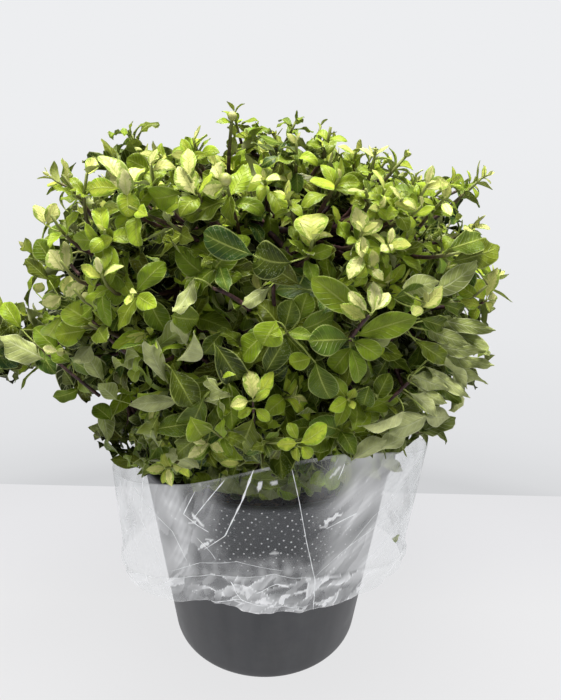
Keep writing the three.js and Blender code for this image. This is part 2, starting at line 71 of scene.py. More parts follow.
# Radius that turns a bearing on the film into millimetres along it
FILM_FLAT_R = 110

# Crown
CROWN_CENTRE = np.array([0, 0, 300])
CROWN_R = 177
CROWN_UP = 143
CROWN_DOWN = 140
POWER_UP = 3.5
POWER_DOWN = 2.4
CROWN_FLOOR = 186
LOWEST_TIP = -0.68
HOLLOW_R = 57
HOLLOW_MID = 300
HOLLOW_UP = 59
SPRAY_REACH = np.array([52, 46, 50])
SPRAY_CORE = 18
SPRIG_SPREAD = 0.15
DIPS = (
    (-3, -10, 430), (4, -100, 433), (58, -10, 424), (113, 0, 422), (-87, -20, 418), (-66, -112, 426),
    (-156, -55, 318),
)
SPRIGS = np.array([
    (-30, 0, 452), (38, 12, 444), (80, 0, 425), (-114, 0, 412), (-172, -10, 400),
    (-186, -30, 345), (169, 0, 408), (176, -30, 333), (178, -60, 292),
])

# Each ring of masses: its count, distance from the leader, height, first bearing, where its boughs
# leave the leader, how far apart, and how early they rise
RINGS = (
    ("upper", 5, 100, 376, -100, 262, 7, 0.4),
    ("middle", 7, 126, 306, -64, 216, 5.5, 0.9),
    ("lower", 6, 100, 230, -90, 186, 4.5, 0.6),
)
TOP_SEED = (-6, 4, 392)
SPRAY_SEED = (-208, -34, 282)
SPRAY_ATTACH = 209
SPRAY_RISE = 0.7
LEADER_POINTS = np.array([(1, 2, 167.3), (1, 2, 179), (3, -1, 222), (-2, 3, 272), (-4, 3, 318)])

# Camera: where it stands, how far it looks down, its turn to the side and its lens
CAMERA_PLACE = (9.2, -441.0, 408.4)
CAMERA_DOWN = math.radians(18.45)
CAMERA_ROLL = 0.0224
CAMERA_LENS = 28.8


def unit(vectors):
    """Each vector divided by its own length."""
    return vectors / np.maximum(np.linalg.norm(vectors, axis=-1, keepdims=True), 1e-9)


def smooth(low, high, value):
    """Runs from 0 at low to 1 at high along a smooth S."""
    share = np.clip((value - low) / (high - low), 0, 1)
    return share * share * (3 - 2 * share)


def from_axis(points):
    """The bearings of points, and how far they lie from the pot's axis."""
    return np.arctan2(points[..., 1], points[..., 0]), np.hypot(points[..., 0], points[..., 1])


def polar(r, bearing, z):
    """Points at distances r from the pot's axis, at bearings and heights."""
    return np.stack(np.broadcast_arrays(r * np.cos(bearing), r * np.sin(bearing), z), axis=-1)


def spiral(count, lowest, first=0.0):
    """Directions on an even spiral, from straight up down to a lowest slope."""
    height = 1 - (1 - lowest) * (np.arange(count) + 0.5) / count
    return polar(np.sqrt(1 - height**2), np.arange(count) * GOLDEN_ANGLE + first, height)


def turned(flat, angle):
    """Places on a plane, measured along axes that are turned by an angle."""
    return flat @ np.array([(math.cos(angle), -math.sin(angle)), (math.sin(angle), math.cos(angle))])


def pick(rows, keep):
    """The rows that keep marks, of each array in a set."""
    return {key: value[keep] for key, value in rows.items()}


def ripples(points, length, count, seed):
    """Smooth noise of about -1 to 1 at points of any dimension: a mean of sine waves that run in random
    directions, each near one length."""
    random = np.random.default_rng(seed)
    total = np.zeros(points.shape[:-1])
    for _ in range(count):
        way = unit(random.normal(size=points.shape[-1]))
        wave = 2 * math.pi / (length * random.uniform(0.6, 1.6))
        total += np.sin(wave * (points @ way) + random.uniform(0, 2 * math.pi))
    return total * math.sqrt(2 / count)


def crown_reach(directions):
    """How far the crown reaches from its centre: a rounded box of a dome, with lobes and sprigs."""
    x, y, z = np.moveaxis(directions, -1, 0)
    flat, bearing = np.hypot(x, y), np.arctan2(y, x)
    half = np.where(z > 0, CROWN_UP, CROWN_DOWN)
    power = np.where(z > 0, POWER_UP, POWER_DOWN)
    ratio = (flat / CROWN_R) ** power + (np.abs(z) / half) ** power
    lobes = (
        0.025 * np.cos(3 * bearing + 0.6) * flat
        + 0.02 * np.cos(5 * bearing - 1.1) * flat * (1 + z)
        + 0.025 * np.cos(2 * bearing + 2.4) * z
    )
    dome = ratio ** (-1 / power) * (1 + lobes)
    reach = dome
    for sprig in SPRIGS - CROWN_CENTRE:
        length = np.linalg.norm(sprig)
        off = np.linalg.norm(directions - sprig / length, axis=-1) / SPRIG_SPREAD
        reach = np.maximum(reach, dome + (length - dome) * np.exp(-off * off))
    return reach


def pot_outer(z):
    """Outer radius of the pot's wall at a height, carried on above the rim."""
    return POT_BASE_R + (POT_RIM_R - LIP_OUT - POT_BASE_R) * z / POT_HEIGHT


def turn_from(bearing, at):
    """Bearings measured from another one, up to half a turn to either side."""
    return np.angle(np.exp(1j * (bearing - at)))


def film_radius(bearing, z):
    """Radius of the film at a bearing and height: along the pot's wall, and off it in bell-shaped folds."""
    share = np.clip((z - FILM_LOW) / (FILM_TOP - FILM_LOW), 0, 1)
    off = LIP_OUT + FILM_CLEAR + FILM_HALF_WALL
    for at, out, wide, straight in FILM_FOLDS:
        bell = np.exp(-((turn_from(bearing, at) / wide) ** 2))
        off = off + (out * (0.9 + 0.1 * share) - straight * (z - FILM_HALF_WAY)) * bell
    return pot_outer(z) + off


def film_top(bearing):
    """Height of the film's upper edge: a bell a little right of the front, on a low wave."""
    bell = np.exp(-((turn_from(bearing, FILM_PEAK_AT) / FILM_PEAK_WIDE) ** 2))
    return FILM_TOP + FILM_PEAK * bell + 4 * np.cos(3 * bearing + 0.5)


def leader_at(t):
    """Points of the leader: its given points joined by one smooth curve, by share of its height."""
    heights = LEADER_POINTS[:, 2]
    z = heights[0] + t * (heights[-1] - heights[0])
    spread = np.array([np.polyfit(heights, LEADER_POINTS[:, axis], 3) for axis in (0, 1)])
    return np.stack([np.polyval(spread[0], z), np.polyval(spread[1], z), z], axis=-1)


def plan_masses():
    """The masses of foliage, each with its name, ring, seed point and where its bough leaves the leader.
    The spray comes last."""
    masses = []
    low, high = LEADER_POINTS[0, 2], LEADER_POINTS[-1, 2]
    for ring, count, r, z, first, attach, step, rise in RINGS:
        for i in range(count):
            seed = polar(r, math.radians(first + 360 / count * i), z)
            start = leader_at((attach + step * ((i * 3) % count) - low) / (high - low))
            mass = {"name": f"{ring}_{i + 1}", "ring": ring, "seed": seed, "start": start, "rise": rise}
            masses.append(mass)
    masses.append({"name": "top", "ring": "upper", "seed": np.array(TOP_SEED), "start": None})
    start = leader_at((SPRAY_ATTACH - low) / (high - low))
    spray = {"name": "left_spray", "ring": "spray", "seed": np.array(SPRAY_SEED), "start": start}
    masses.append({**spray, "rise": SPRAY_RISE})
    return masses


def bezier(a, b, c, t):
    """Points of curves with one bend each, at shares t of the way: a, b and c are arrays of points."""
    t = np.asarray(t)[..., None]
    return (1 - t) ** 2 * a + 2 * t * (1 - t) * b + t**2 * c


def bezier_way(a, b, c, t):
    """The directions in which those curves run at shares t."""
    t = np.asarray(t)[..., None]
    return unit((1 - t) * (b - a) + t * (c - b))


def bough_points(mass):
    """A bough's three points: out of the leader, rising, and on to the open middle's edge near its mass."""
    if mass["start"] is None:
        tip = leader_at(np.array(1.0))
        return tip, (tip + mass["seed"]) / 2, mass["seed"]
    start, seed = mass["start"], mass["seed"]
    bend = start + 0.3 * (seed - start)
    bend[2] = start[2] + mass["rise"] * (seed[2] - start[2])
    steps = np.arange(CROWN_R)
    walk = seed + steps[:, None] * unit(bend - seed)
    up = np.maximum(0, walk[:, 2] - HOLLOW_MID) / HOLLOW_UP
    in_open = np.hypot(from_axis(walk)[1] / HOLLOW_R, up) < 1
    if mass["ring"] == "spray":
        in_open = steps > SPRAY_CORE
    return start, bend, walk[np.argmax(in_open)]


# Meshes


def make_mesh(name, points, corners, looks, sizes=None, look_of=None, uv=None, values=None, sharp=None):
    """A mesh object from arrays: points in mm, the corners of its faces one after another, its
    materials, how many corners each face has where that isn't four, which material each face wears, a
    UV for each point, a float for each point under each name in values, and a function that marks
    sharp edges from the numbers of their two ends."""
    points, corners = np.asarray(points, np.float32).reshape(-1, 3), corners.astype(np.int32).ravel()
    sizes = np.full(len(corners) // 4, 4) if sizes is None else sizes
    mesh = bpy.data.meshes.new(name)
    mesh.vertices.add(len(points))
    mesh.vertices.foreach_set("co", (points * MM).ravel())
    mesh.loops.add(len(corners))
    mesh.loops.foreach_set("vertex_index", corners)
    mesh.polygons.add(len(sizes))
    mesh.polygons.foreach_set("loop_start", (np.cumsum(sizes) - sizes).astype(np.int32))
    mesh.update(calc_edges=True)
    mesh.polygons.foreach_set("use_smooth", np.ones(len(sizes), bool))
    for look in looks:
        mesh.materials.append(look)
    if look_of is not None:
        mesh.polygons.foreach_set("material_index", look_of.astype(np.int32))
    if uv is not None:
        mesh.uv_layers.new(name="UVMap").data.foreach_set("uv", uv[corners].astype(np.float32).ravel())
    for key, value in (values or {}).items():
        mesh.attributes.new(key, "FLOAT", "POINT").data.foreach_set("value", value.astype(np.float32))
    if sharp is not None:
        ends = np.empty(2 * len(mesh.edges), np.int32)
        mesh.edges.foreach_get("vertices", ends)
        marks = mesh.attributes.new("sharp_edge", "BOOLEAN", "EDGE")
        marks.data.foreach_set("value", sharp(ends.reshape(-1, 2)))
    mesh.update()
    piece = bpy.data.objects.new(name, mesh)
    bpy.context.scene.collection.objects.link(piece)
    return piece


def dress(piece, slot, *nodes):
    """Rides a piece on the part, and lets it stand for the nodes named. Its slot is not used."""
    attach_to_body(piece, "root")
    if nodes:
        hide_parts(*nodes)
    return piece


def ring_faces(rings, sides):
    """Quads between rings of points, ring after ring, each closed round."""
    ring, side = np.meshgrid(np.arange(rings - 1) * sides, np.arange(sides), indexing="ij")
    beside = (side + 1) % sides
    corners = [ring + side, ring + beside, ring + sides + beside, ring + sides + side]
    return np.stack(corners, axis=-1).reshape(-1, 4)


def spun(profile, steps):
    """Rings of points: a profile of radii and heights spun round Z."""
    r, z = np.array(profile, float).T[..., None]
    return polar(r, np.arange(steps) * 2 * math.pi / steps, z)


def tubes(name, points, radii, sides, looks, values, lean=None):
    """Many tubes in one mesh. points has a row of ring middles for each tube, and radii the radius of
    each ring or of each of its points. A ring lies across the way that the tube runs there and starts
    square to lean, and both ends are closed by a flat face."""
    count, rings = points.shape[:2]
    way = unit(np.gradient(points, axis=1))
    if lean is None:
        lean = np.where(np.abs(way[:, :1, 2:]) > 0.9, np.array([1.0, 0, 0]), np.array([0, 0, 1.0]))
    side = unit(np.cross(way, lean))
    other = np.cross(way, side)
    turn = np.arange(sides) * 2 * math.pi / sides
    ring = np.cos(turn)[:, None] * side[:, :, None] + np.sin(turn)[:, None] * other[:, :, None]
    skin = points[:, :, None] + np.atleast_3d(radii)[..., None] * ring
    first = np.arange(count)[:, None] * rings * sides
    quads = first[..., None] + ring_faces(rings, sides)
    foot = first + np.arange(sides)[::-1]
    head = first + (rings - 1) * sides + np.arange(sides)
    corners = np.concatenate([quads.ravel(), foot.ravel(), head.ravel()])
    sizes = np.repeat([4, sides], [quads.size // 4, 2 * count])
    values = {key: np.repeat(value.ravel(), sides) for key, value in values.items()}
    return make_mesh(name, skin, corners, looks, sizes, values=values)


# Materials


def linear(hex_colour):
    """A colour written as sRGB hex, as linear light with full alpha."""
    parts = np.array([int(hex_colour[i : i + 2], 16) for i in (1, 3, 5)]) / 255
    return (*np.where(parts <= 0.04045, parts / 12.92, ((parts + 0.055) / 1.055) ** 2.4), 1)


def join(tree, node, inputs):
    """Fills a node's inputs: another node's output is linked, a hex colour is turned to linear, and any
    other value is set."""
    for key, value in inputs.items():
        if isinstance(value, bpy.types.NodeSocket):
            tree.links.new(value, node.inputs[key])
        else:
            node.inputs[key].default_value = linear(value) if isinstance(value, str) else value


def add(tree, kind, inputs=(), out=0, stops=(), **settings):
    """Adds a shader node of a kind with its settings and inputs, and gives one of its outputs. Stops are
    a colour ramp's places and colours."""
    made = tree.nodes.new("ShaderNode" + kind)
    for key, value in settings.items():
        setattr(made, key, value)
    join(tree, made, dict(inputs))
    if stops:
        ramp = made.color_ramp.elements
        while len(ramp) < len(stops):
            ramp.new(1)
        for stop, (place, colour) in zip(ramp, stops):
            stop.position, stop.color = place, linear(colour)
    return made.outputs[out]


def new_material(name, sockets):
    """A material with one Principled shader, whose sockets of constant value are set by name."""
    material = bpy.data.materials.new(name)
    material.use_nodes = True
    shader = material.node_tree.nodes["Principled BSDF"]
    join(material.node_tree, shader, sockets)
    return material, material.node_tree, shader


def leaf_lines(tree):
    """The lines that follow a leaf, from its UV: u runs from stalk to tip and v from side to side. They
    are the distance from the midrib, the midrib, the pale margin and the side veins, which slant on."""
    place = add(tree, "SeparateXYZ", {0: add(tree, "UVMap", uv_map="UVMap")})
    u, v = place.node.outputs[0], place.node.outputs[1]
    centred = add(tree, "Math", {0: v, 1: 0.5}, operation="SUBTRACT")
    off = add(tree, "Math", {0: centred}, operation="ABSOLUTE")
    rib = add(tree, "MapRange", {0: off, 1: 0.012, 2: 0.042, 3: 1.0, 4: 0.0})
    thinner = add(tree, "Math", {0: u, 1: -0.8, 2: 1.1}, operation="MULTIPLY_ADD", use_clamp=True)
    rib = add(tree, "Math", {0: rib, 1: thinner}, operation="MULTIPLY")
    edge = add(tree, "MapRange", {0: off, 1: 0.45, 2: 0.48, 3: 0.0, 4: 1.0})
    slant = add(tree, "Math", {0: off, 1: -0.45, 2: u}, operation="MULTIPLY_ADD")
    run = add(tree, "Math", {0: slant, 1: 8.0}, operation="MULTIPLY")
    saw = add(tree, "Math", {0: run, 1: 0.5}, operation="PINGPONG")
    vein = add(tree, "MapRange", {0: saw, 1: 0.02, 2: 0.11, 3: 1.0, 4: 0.0})
    return off, rib, edge, vein


def grown(tree, low, high):
    """Runs from 0 to 1 as a leaf's age runs from low to high."""
    age = add(tree, "Attribute", out="Fac", attribute_name="age")
    return add(tree, "MapRange", {0: age, 1: low, 2: high}, interpolation_type="SMOOTHSTEP")


def leaf_upper(name, gloss):
    """Upper side of a leathery evergreen leaf: a waxy skin gives a soft gloss. Young leaves are pale
    yellow with green flecks from the margin in, and old ones dark with dry whitish specks. By its own
    tone each leaf leans to olive or to a cooler green, and is lighter or darker than the next."""
    material, tree, shader = new_material(name, {"Specular IOR Level": gloss})
    place = add(tree, "TexCoord", out="Object")
    age, tone = (add(tree, "Attribute", out="Fac", attribute_name=key) for key in ("age", "tone"))
    # The darkest end of this ramp, near black, is painted shade for the leaves deep in the crown, which take
    # the oldest ages
    colour = add(tree, "ValToRGB", {0: age}, stops=(
        (0.0, "#e6e3a4"), (0.13, "#d6d580"), (0.25, "#b7c144"), (0.36, "#99ac2e"), (0.5, "#7f9520"),
        (0.65, "#698019"), (0.8, "#4a5b15"), (0.9, "#28330c"), (0.95, "#151c06"), (1.0, "#080b02")))
    olive = add(tree, "MapRange", {0: tone, 1: 0.55, 2: 1.0, 3: 0.0, 4: 0.6})
    cool = add(tree, "MapRange", {0: tone, 1: 0.25, 2: 0.0, 3: 0.0, 4: 0.5})
    for share, hue in ((olive, "#6d6f1c"), (cool, "#2f6034")):
        share = add(tree, "Math", {0: share, 1: grown(tree, 0.3, 0.6)}, operation="MULTIPLY")
        colour = add(tree, "Mix", {"Factor": share, 6: colour, 7: hue}, out=2, data_type="RGBA")
    off, rib, edge, vein = leaf_lines(tree)
    # Flecks of 2 to 3 mm, more of them towards the margin
    fleck = add(tree, "TexNoise", {"Vector": place, "Scale": 430.0, "Detail": 4.0, "Roughness": 0.7})
    near = add(tree, "Math", {0: off, 1: 1.15, 2: fleck}, operation="MULTIPLY_ADD")
    share = add(tree, "MapRange", {0: near, 1: 0.84, 2: 0.93}, interpolation_type="SMOOTHSTEP")
    young = add(tree, "Math", {0: 1.0, 1: grown(tree, 0.3, 0.55)}, operation="SUBTRACT")
    for factor in (young, 0.8):
        share = add(tree, "Math", {0: share, 1: factor}, operation="MULTIPLY")
    colour = add(tree, "Mix", {"Factor": share, 6: colour, 7: "#84a328"}, out=2, data_type="RGBA")
    # Cloudy lighter and darker areas of about 8 mm
    cloud = add(tree, "TexNoise", {"Vector": place, "Scale": 130.0, "Detail": 3.0})
    shade = add(tree, "MapRange", {0: cloud, 1: 0.3, 2: 0.7, 3: 0.66, 4: 1.3})
    own = add(tree, "Math", {0: tone, 1: 7.0}, operation="MULTIPLY")
    own = add(tree, "Math", {0: own}, operation="FRACT")
    own = add(tree, "MapRange", {0: own, 1: 0.0, 2: 1.0, 3: 0.72, 4: 1.36})
    for strength in (shade, own):
        colour = add(tree, "VectorMath", {0: colour, "Scale": strength}, operation="SCALE")
    # Dry specks about 0.5 mm across, in patches, on old leaves only
    speck = add(tree, "TexVoronoi", {"Vector": place, "Scale": 850.0, "Randomness": 1.0})
    dots = add(tree, "MapRange", {0: speck, 1: 0.2, 2: 0.42, 3: 1.0, 4: 0.0})
    where = add(tree, "MapRange", {0: cloud, 1: 0.42, 2: 0.62}, interpolation_type="SMOOTHSTEP")
    for factor in (where, grown(tree, 0.6, 0.85), 0.45):
        dots = add(tree, "Math", {0: dots, 1: factor}, operation="MULTIPLY")
    # One over the other: a paler blade towards the midrib, side veins, specks, margin and midrib
    middle = add(tree, "MapRange", {0: off, 1: 0.0, 2: 0.3, 3: 0.25, 4: 0.0})
    faint = add(tree, "Math", {0: vein, 1: 0.27}, operation="MULTIPLY")
    edge = add(tree, "Math", {0: edge, 1: 0.62}, operation="MULTIPLY")
    rib = add(tree, "Math", {0: rib, 1: 0.85}, operation="MULTIPLY")
    over = (middle, "#9fb23c"), (faint, "#b2c25e"), (dots, "#a9b48c"), (edge, "#b9c573"), (rib, "#c3cf6c")
    for share, paint in over:
        colour = add(tree, "Mix", {"Factor": share, 6: colour, 7: paint}, out=2, data_type="RGBA")
    # Young leaves give off a little of their own colour as light, a painted glow that stands in for light
    # coming through them from behind
    painted_glow = add(tree, "Math", {0: young, 1: 0.1}, operation="MULTIPLY")
    rough = add(tree, "MapRange", {0: cloud, 1: 0.3, 2: 0.7, 3: 0.3, 4: 0.46})
    lines = add(tree, "Math", {0: vein, 1: rib}, operation="ADD")
    height = add(tree, "Math", {0: cloud, 1: 2.0, 2: lines}, operation="MULTIPLY_ADD")
    bump = add(tree, "Bump", {"Height": height, "Strength": 0.6, "Distance": 0.0006}, invert=True)
    join(tree, shader, {"Base Color": colour, "Roughness": rough, "Normal": bump})
    # Painted glow of the young leaves
    join(tree, shader, {"Emission Color": colour, "Emission Strength": painted_glow})
    return material


def leaf_under(name, gloss):
    """Underside of the same leaf: matte and paler, because fine down and air under the skin scatter
    light, with its midrib and veins raised."""
    material, tree, shader = new_material(name, {"Roughness": 0.62, "Specular IOR Level": gloss})
    place = add(tree, "TexCoord", out="Object")
    age = add(tree, "Attribute", out="Fac", attribute_name="age")
    # The darkest end of this ramp is painted shade for the leaves deep in the crown, which take the oldest
    # ages
    base = add(tree, "ValToRGB", {0: age}, stops=(
        (0.0, "#dfe094"), (0.3, "#bccb62"), (0.52, "#c9cf92"), (0.62, "#abb56b"), (0.75, "#86934a"),
        (0.9, "#454f26"), (1.0, "#1a1f0e")))
    _, rib, edge, vein = leaf_lines(tree)
    # Cloudy areas of about 7 mm
    cloud = add(tree, "TexNoise", {"Vector": place, "Scale": 150.0, "Detail": 3.0})
    shade = add(tree, "MapRange", {0: cloud, 1: 0.3, 2: 0.7, 3: 0.68, 4: 1.16})
    colour = add(tree, "VectorMath", {0: base, "Scale": shade}, operation="SCALE")
    lines = add(tree, "Math", {0: vein, 1: 0.6}, operation="MULTIPLY")
    for line in (rib, edge):
        lines = add(tree, "Math", {0: lines, 1: line}, operation="MAXIMUM")
    lines = add(tree, "Math", {0: lines, 1: 0.7}, operation="MULTIPLY")
    colour = add(tree, "Mix", {"Factor": lines, 6: colour, 7: "#d6dcae"}, out=2, data_type="RGBA")
    height = add(tree, "Math", {0: cloud, 1: 1.2, 2: lines}, operation="MULTIPLY_ADD")
    bump = add(tree, "Bump", {"Height": height, "Strength": 0.6, "Distance": 0.0006})
    join(tree, shader, {"Base Color": colour, "Normal": bump})
    return material


def twig_bark():
    """Smooth young bark: purple-brown where it is woody, with a paler grain of 2 to 3 mm, and turning
    green towards the soft tip, by the piece's own age attribute."""
    material, tree, shader = new_material("young_twig_bark", {"Roughness": 0.55})
    place = add(tree, "TexCoord", out="Object")
    grain = add(tree, "TexNoise", {"Vector": place, "Scale": 380.0, "Detail": 4.0})
    woody = add(tree, "ValToRGB", {0: grain}, stops=((0.35, "#2f1c1d"), (0.55, "#4f3032"), (0.75, "#7a5a54")))
    old = grown(tree, 0.35, 0.75)
    colour = add(tree, "Mix", {"Factor": old, 6: "#9fae52", 7: woody}, out=2, data_type="RGBA")
    bump = add(tree, "Bump", {"Height": grain, "Strength": 0.4, "Distance": 0.0004})
    join(tree, shader, {"Base Color": colour, "Normal": bump})
    return material


def old_bark():
    """Older bark of leader and boughs: brown-grey, rough, split into upright plates about 3 mm wide and
    10 mm long, with pale breathing pores every 4 mm."""
    material, tree, shader = new_material("split_brown_bark", {"Roughness": 0.85})
    place = add(tree, "TexCoord", out="Object")
    along = add(tree, "Mapping", {"Vector": place, "Scale": (1.0, 1.0, 0.3)})
    plates = add(tree, "TexNoise", {"Vector": along, "Scale": 320.0, "Detail": 6.0, "Roughness": 0.65})
    colour = add(tree, "ValToRGB", {0: plates}, stops=(
        (0.3, "#2a1c18"), (0.48, "#4f3a30"), (0.62, "#6f584a"), (0.8, "#94806c")))
    pores = add(tree, "TexVoronoi", {"Vector": place, "Scale": 240.0})
    dots = add(tree, "MapRange", {0: pores, 1: 0.08, 2: 0.18, 3: 0.6, 4: 0.0})
    colour = add(tree, "Mix", {"Factor": dots, 6: colour, 7: "#b09d84"}, out=2, data_type="RGBA")
    bump = add(tree, "Bump", {"Height": plates, "Strength": 0.7, "Distance": 0.001})
    join(tree, shader, {"Base Color": colour, "Normal": bump})
    return material


def bud_skin():
    """Skin of a fat pale bud: waxy, yellow-green, a little greener in flecks of 4 mm."""
    material, tree, shader = new_material("waxy_bud_scales", {"Roughness": 0.5})
    place = add(tree, "TexCoord", out="Object")
    fleck = add(tree, "TexNoise", {"Vector": place, "Scale": 260.0, "Detail": 3.0})
    colour = add(tree, "ValToRGB", {0: fleck}, stops=((0.35, "#9bab46"), (0.55, "#c6c876"), (0.7, "#d8d692")))
    join(tree, shader, {"Base Color": colour})
    return material


def pot_plastic():
    """Injection-moulded polypropylene, charcoal: satin from the mould's fine texture, with faint flow
    marks up the wall and a film of dust that dulls it unevenly."""
    material, tree, shader = new_material("moulded_charcoal_polypropylene", {"IOR": 1.49})
    place = add(tree, "TexCoord", out="Object")
    flow = add(tree, "Mapping", {"Vector": place, "Scale": (1.0, 1.0, 0.12)})
    marks = add(tree, "TexNoise", {"Vector": flow, "Scale": 60.0, "Detail": 3.0})
    colour = add(tree, "ValToRGB", {0: marks}, stops=((0.3, "#3b3c40"), (0.7, "#47484c")))
    dust = add(tree, "TexNoise", {"Vector": place, "Scale": 28.0, "Detail": 5.0, "Roughness": 0.62})
    dusty = add(tree, "MapRange", {0: dust, 1: 0.48, 2: 0.78, 3: 0.0, 4: 0.22})
    colour = add(tree, "Mix", {"Factor": dusty, 6: colour, 7: "#7d7c7a"}, out=2, data_type="RGBA")
    rough = add(tree, "MapRange", {0: dust, 1: 0.35, 2: 0.7, 3: 0.38, 4: 0.52})
    # The mould's texture has a grain of about 0.6 mm
    fine = add(tree, "TexNoise", {"Vector": place, "Scale": 1600.0, "Detail": 2.0})
    bump = add(tree, "Bump", {"Height": fine, "Strength": 0.15, "Distance": 0.0001})
    join(tree, shader, {"Base Color": colour, "Roughness": rough, "Normal": bump})
    return material


def potting_soil():
    """Moist bark and peat: matte dark brown crumbs of 2 to 6 mm, with paler chips among them."""
    material, tree, shader = new_material("moist_bark_and_peat", {"Roughness": 0.92})
    place = add(tree, "TexCoord", out="Object")
    crumbs = add(tree, "TexVoronoi", {"Vector": place, "Scale": 230.0}, out="Color")
    tone = add(tree, "SeparateXYZ", {0: crumbs})
    colour = add(tree, "ValToRGB", {0: tone}, stops=(
        (0.0, "#1a120d"), (0.5, "#33241a"), (0.85, "#4d3827"), (1.0, "#8a6c4a")))
    rough = add(tree, "TexNoise", {"Vector": place, "Scale": 700.0, "Detail": 5.0})
    bump = add(tree, "Bump", {"Height": rough, "Strength": 0.8, "Distance": 0.0015})
    join(tree, shader, {"Base Color": colour, "Normal": bump})
    return material


def clear_film():
    """Cast polypropylene film: clear, with a mirror gloss that grows at a glancing look, a milky haze
    where its attribute of haze and glints says so, and pin holes with white rims every 5.5 mm over its
    front. That attribute holds real haze together with painted highlights and reflections, and the
    milky shader glows a little, a painted glow."""
    gloss = {"Base Color": "#f6f8fa", "Roughness": 0.07, "Metallic": 1.0}
    material, tree, shader = new_material("clear_polypropylene_film", gloss)
    clear = add(tree, "BsdfTransparent", {"Color": "#fbfcfc"})
    glance = add(tree, "LayerWeight", {"Blend": 0.5}, out="Facing")
    steep = add(tree, "Math", {0: glance, 1: 4.0}, operation="POWER")
    gloss = add(tree, "Math", {0: steep, 1: 0.26, 2: 0.016}, operation="MULTIPLY_ADD", use_clamp=True)
    film = add(tree, "MixShader", {0: gloss, 1: clear, 2: shader.outputs[0]})
    # The milky shader glows a little by itself, a painted glow for the light that the haze and glints would
    # catch
    haze = {"Base Color": "#f7f8fa", "Roughness": 0.45, "Emission Strength": 0.24}
    glowing_haze = add(tree, "BsdfPrincipled", {**haze, "Emission Color": "#ffffff"})
    haze_and_glint, dotted = (add(tree, "Attribute", out="Fac", attribute_name=key) for key in ("haze_and_glint", "dotted"))
    # Pin holes on a slanting grid, from the film's own map, which is in millimetres
    grid = add(tree, "UVMap", uv_map="UVMap")
    slanting = add(tree, "VectorRotate", {"Vector": grid, "Angle": 0.6}, rotation_type="Z_AXIS")
    spacing = {"Vector": slanting, "Scale": 0.182, "Randomness": 0.5}
    cell = add(tree, "TexVoronoi", spacing, voronoi_dimensions="2D")
    hole = add(tree, "MapRange", {0: cell, 1: 0.085, 2: 0.145, 3: 1.0, 4: 0.0})
    tone = add(tree, "SeparateXYZ", {0: cell.node.outputs["Color"]})
    bright = add(tree, "MapRange", {0: tone, 1: 0.1, 2: 1.0, 3: 0.2, 4: 0.75})
    for factor in (bright, dotted):
        hole = add(tree, "Math", {0: hole, 1: factor}, operation="MULTIPLY")
    share = add(tree, "Math", {0: haze_and_glint, 1: hole}, operation="MAXIMUM", use_clamp=True)
    whole = add(tree, "MixShader", {0: share, 1: film, 2: glowing_haze})
    join(tree, tree.nodes["Material Output"], {"Surface": whole})
    return material


def clear_film_inside():
    """The inner face of the same film: as clear, with only a faint gloss of its own."""
    gloss = {"Roughness": 0.1, "Metallic": 1.0}
    material, tree, shader = new_material("clear_polypropylene_film_inner_face", gloss)
    clear = add(tree, "BsdfTransparent", {"Color": "#ffffff"})
    film = add(tree, "MixShader", {0: 0.008, 1: clear, 2: shader.outputs[0]})
    join(tree, tree.nodes["Material Output"], {"Surface": film})
    return material


def pinched_film():
    """The same film where it is creased sharply: stretched white, glossy, a little see-through, and glowing a
    little, a painted highlight along the crease.
    """
    return new_material("stress_whitened_film_with_painted_glow", {
        "Roughness": 0.22, "Base Color": "#f7f9fb", "Alpha": 0.88,
        # The glow is painted light that makes the creases shine as highlights
        "Emission Color": "#ffffff", "Emission Strength": 0.3,
    })[0]


def plain_floor():
    """Plain matte white board, lit a little from below so that it stays pale, and a little darker far
    behind, a painted shade; not part of the object."""
    matte = {"Roughness": 0.9, "Base Color": "#404042", "Specular IOR Level": 0.0, "Emission Strength": 1.0}
    material, tree, shader = new_material("plain_pale_board", matte)
    place = add(tree, "SeparateXYZ", {0: add(tree, "TexCoord", out="Object")}, out=1)
    far = add(tree, "MapRange", {0: place, 1: 0.0, 2: 0.19})
    # Painted shade: the glow is a little darker far behind
    glow = add(tree, "ValToRGB", {0: far}, stops=((0.0, "#e2e2e3"), (0.5, "#dddddf"), (1.0, "#dadadc")))
    join(tree, shader, {"Emission Color": glow})
    return material


# Growing

# A curve of one bend is a set of arrays under these names
CURVE = ("root", "bend", "tip")

# Layers of shoots under the crown's outline, numbered from 0: how many, and how deep at least and at
# most. Then the numbers of the other kinds of shoot and of the single leaves
LAYERS = ((560, 5, 15), (300, 22, 40), (120, 46, 66))
SKIRT, SPRIG, FEATURED, SINGLE = 3, -1, 4, 5
SPRAY_SHOOTS = 14
LEAVES_A_SHOOT = 13

# Other shoots keep this far from the featured ones
FEATURE_ROOM = 11

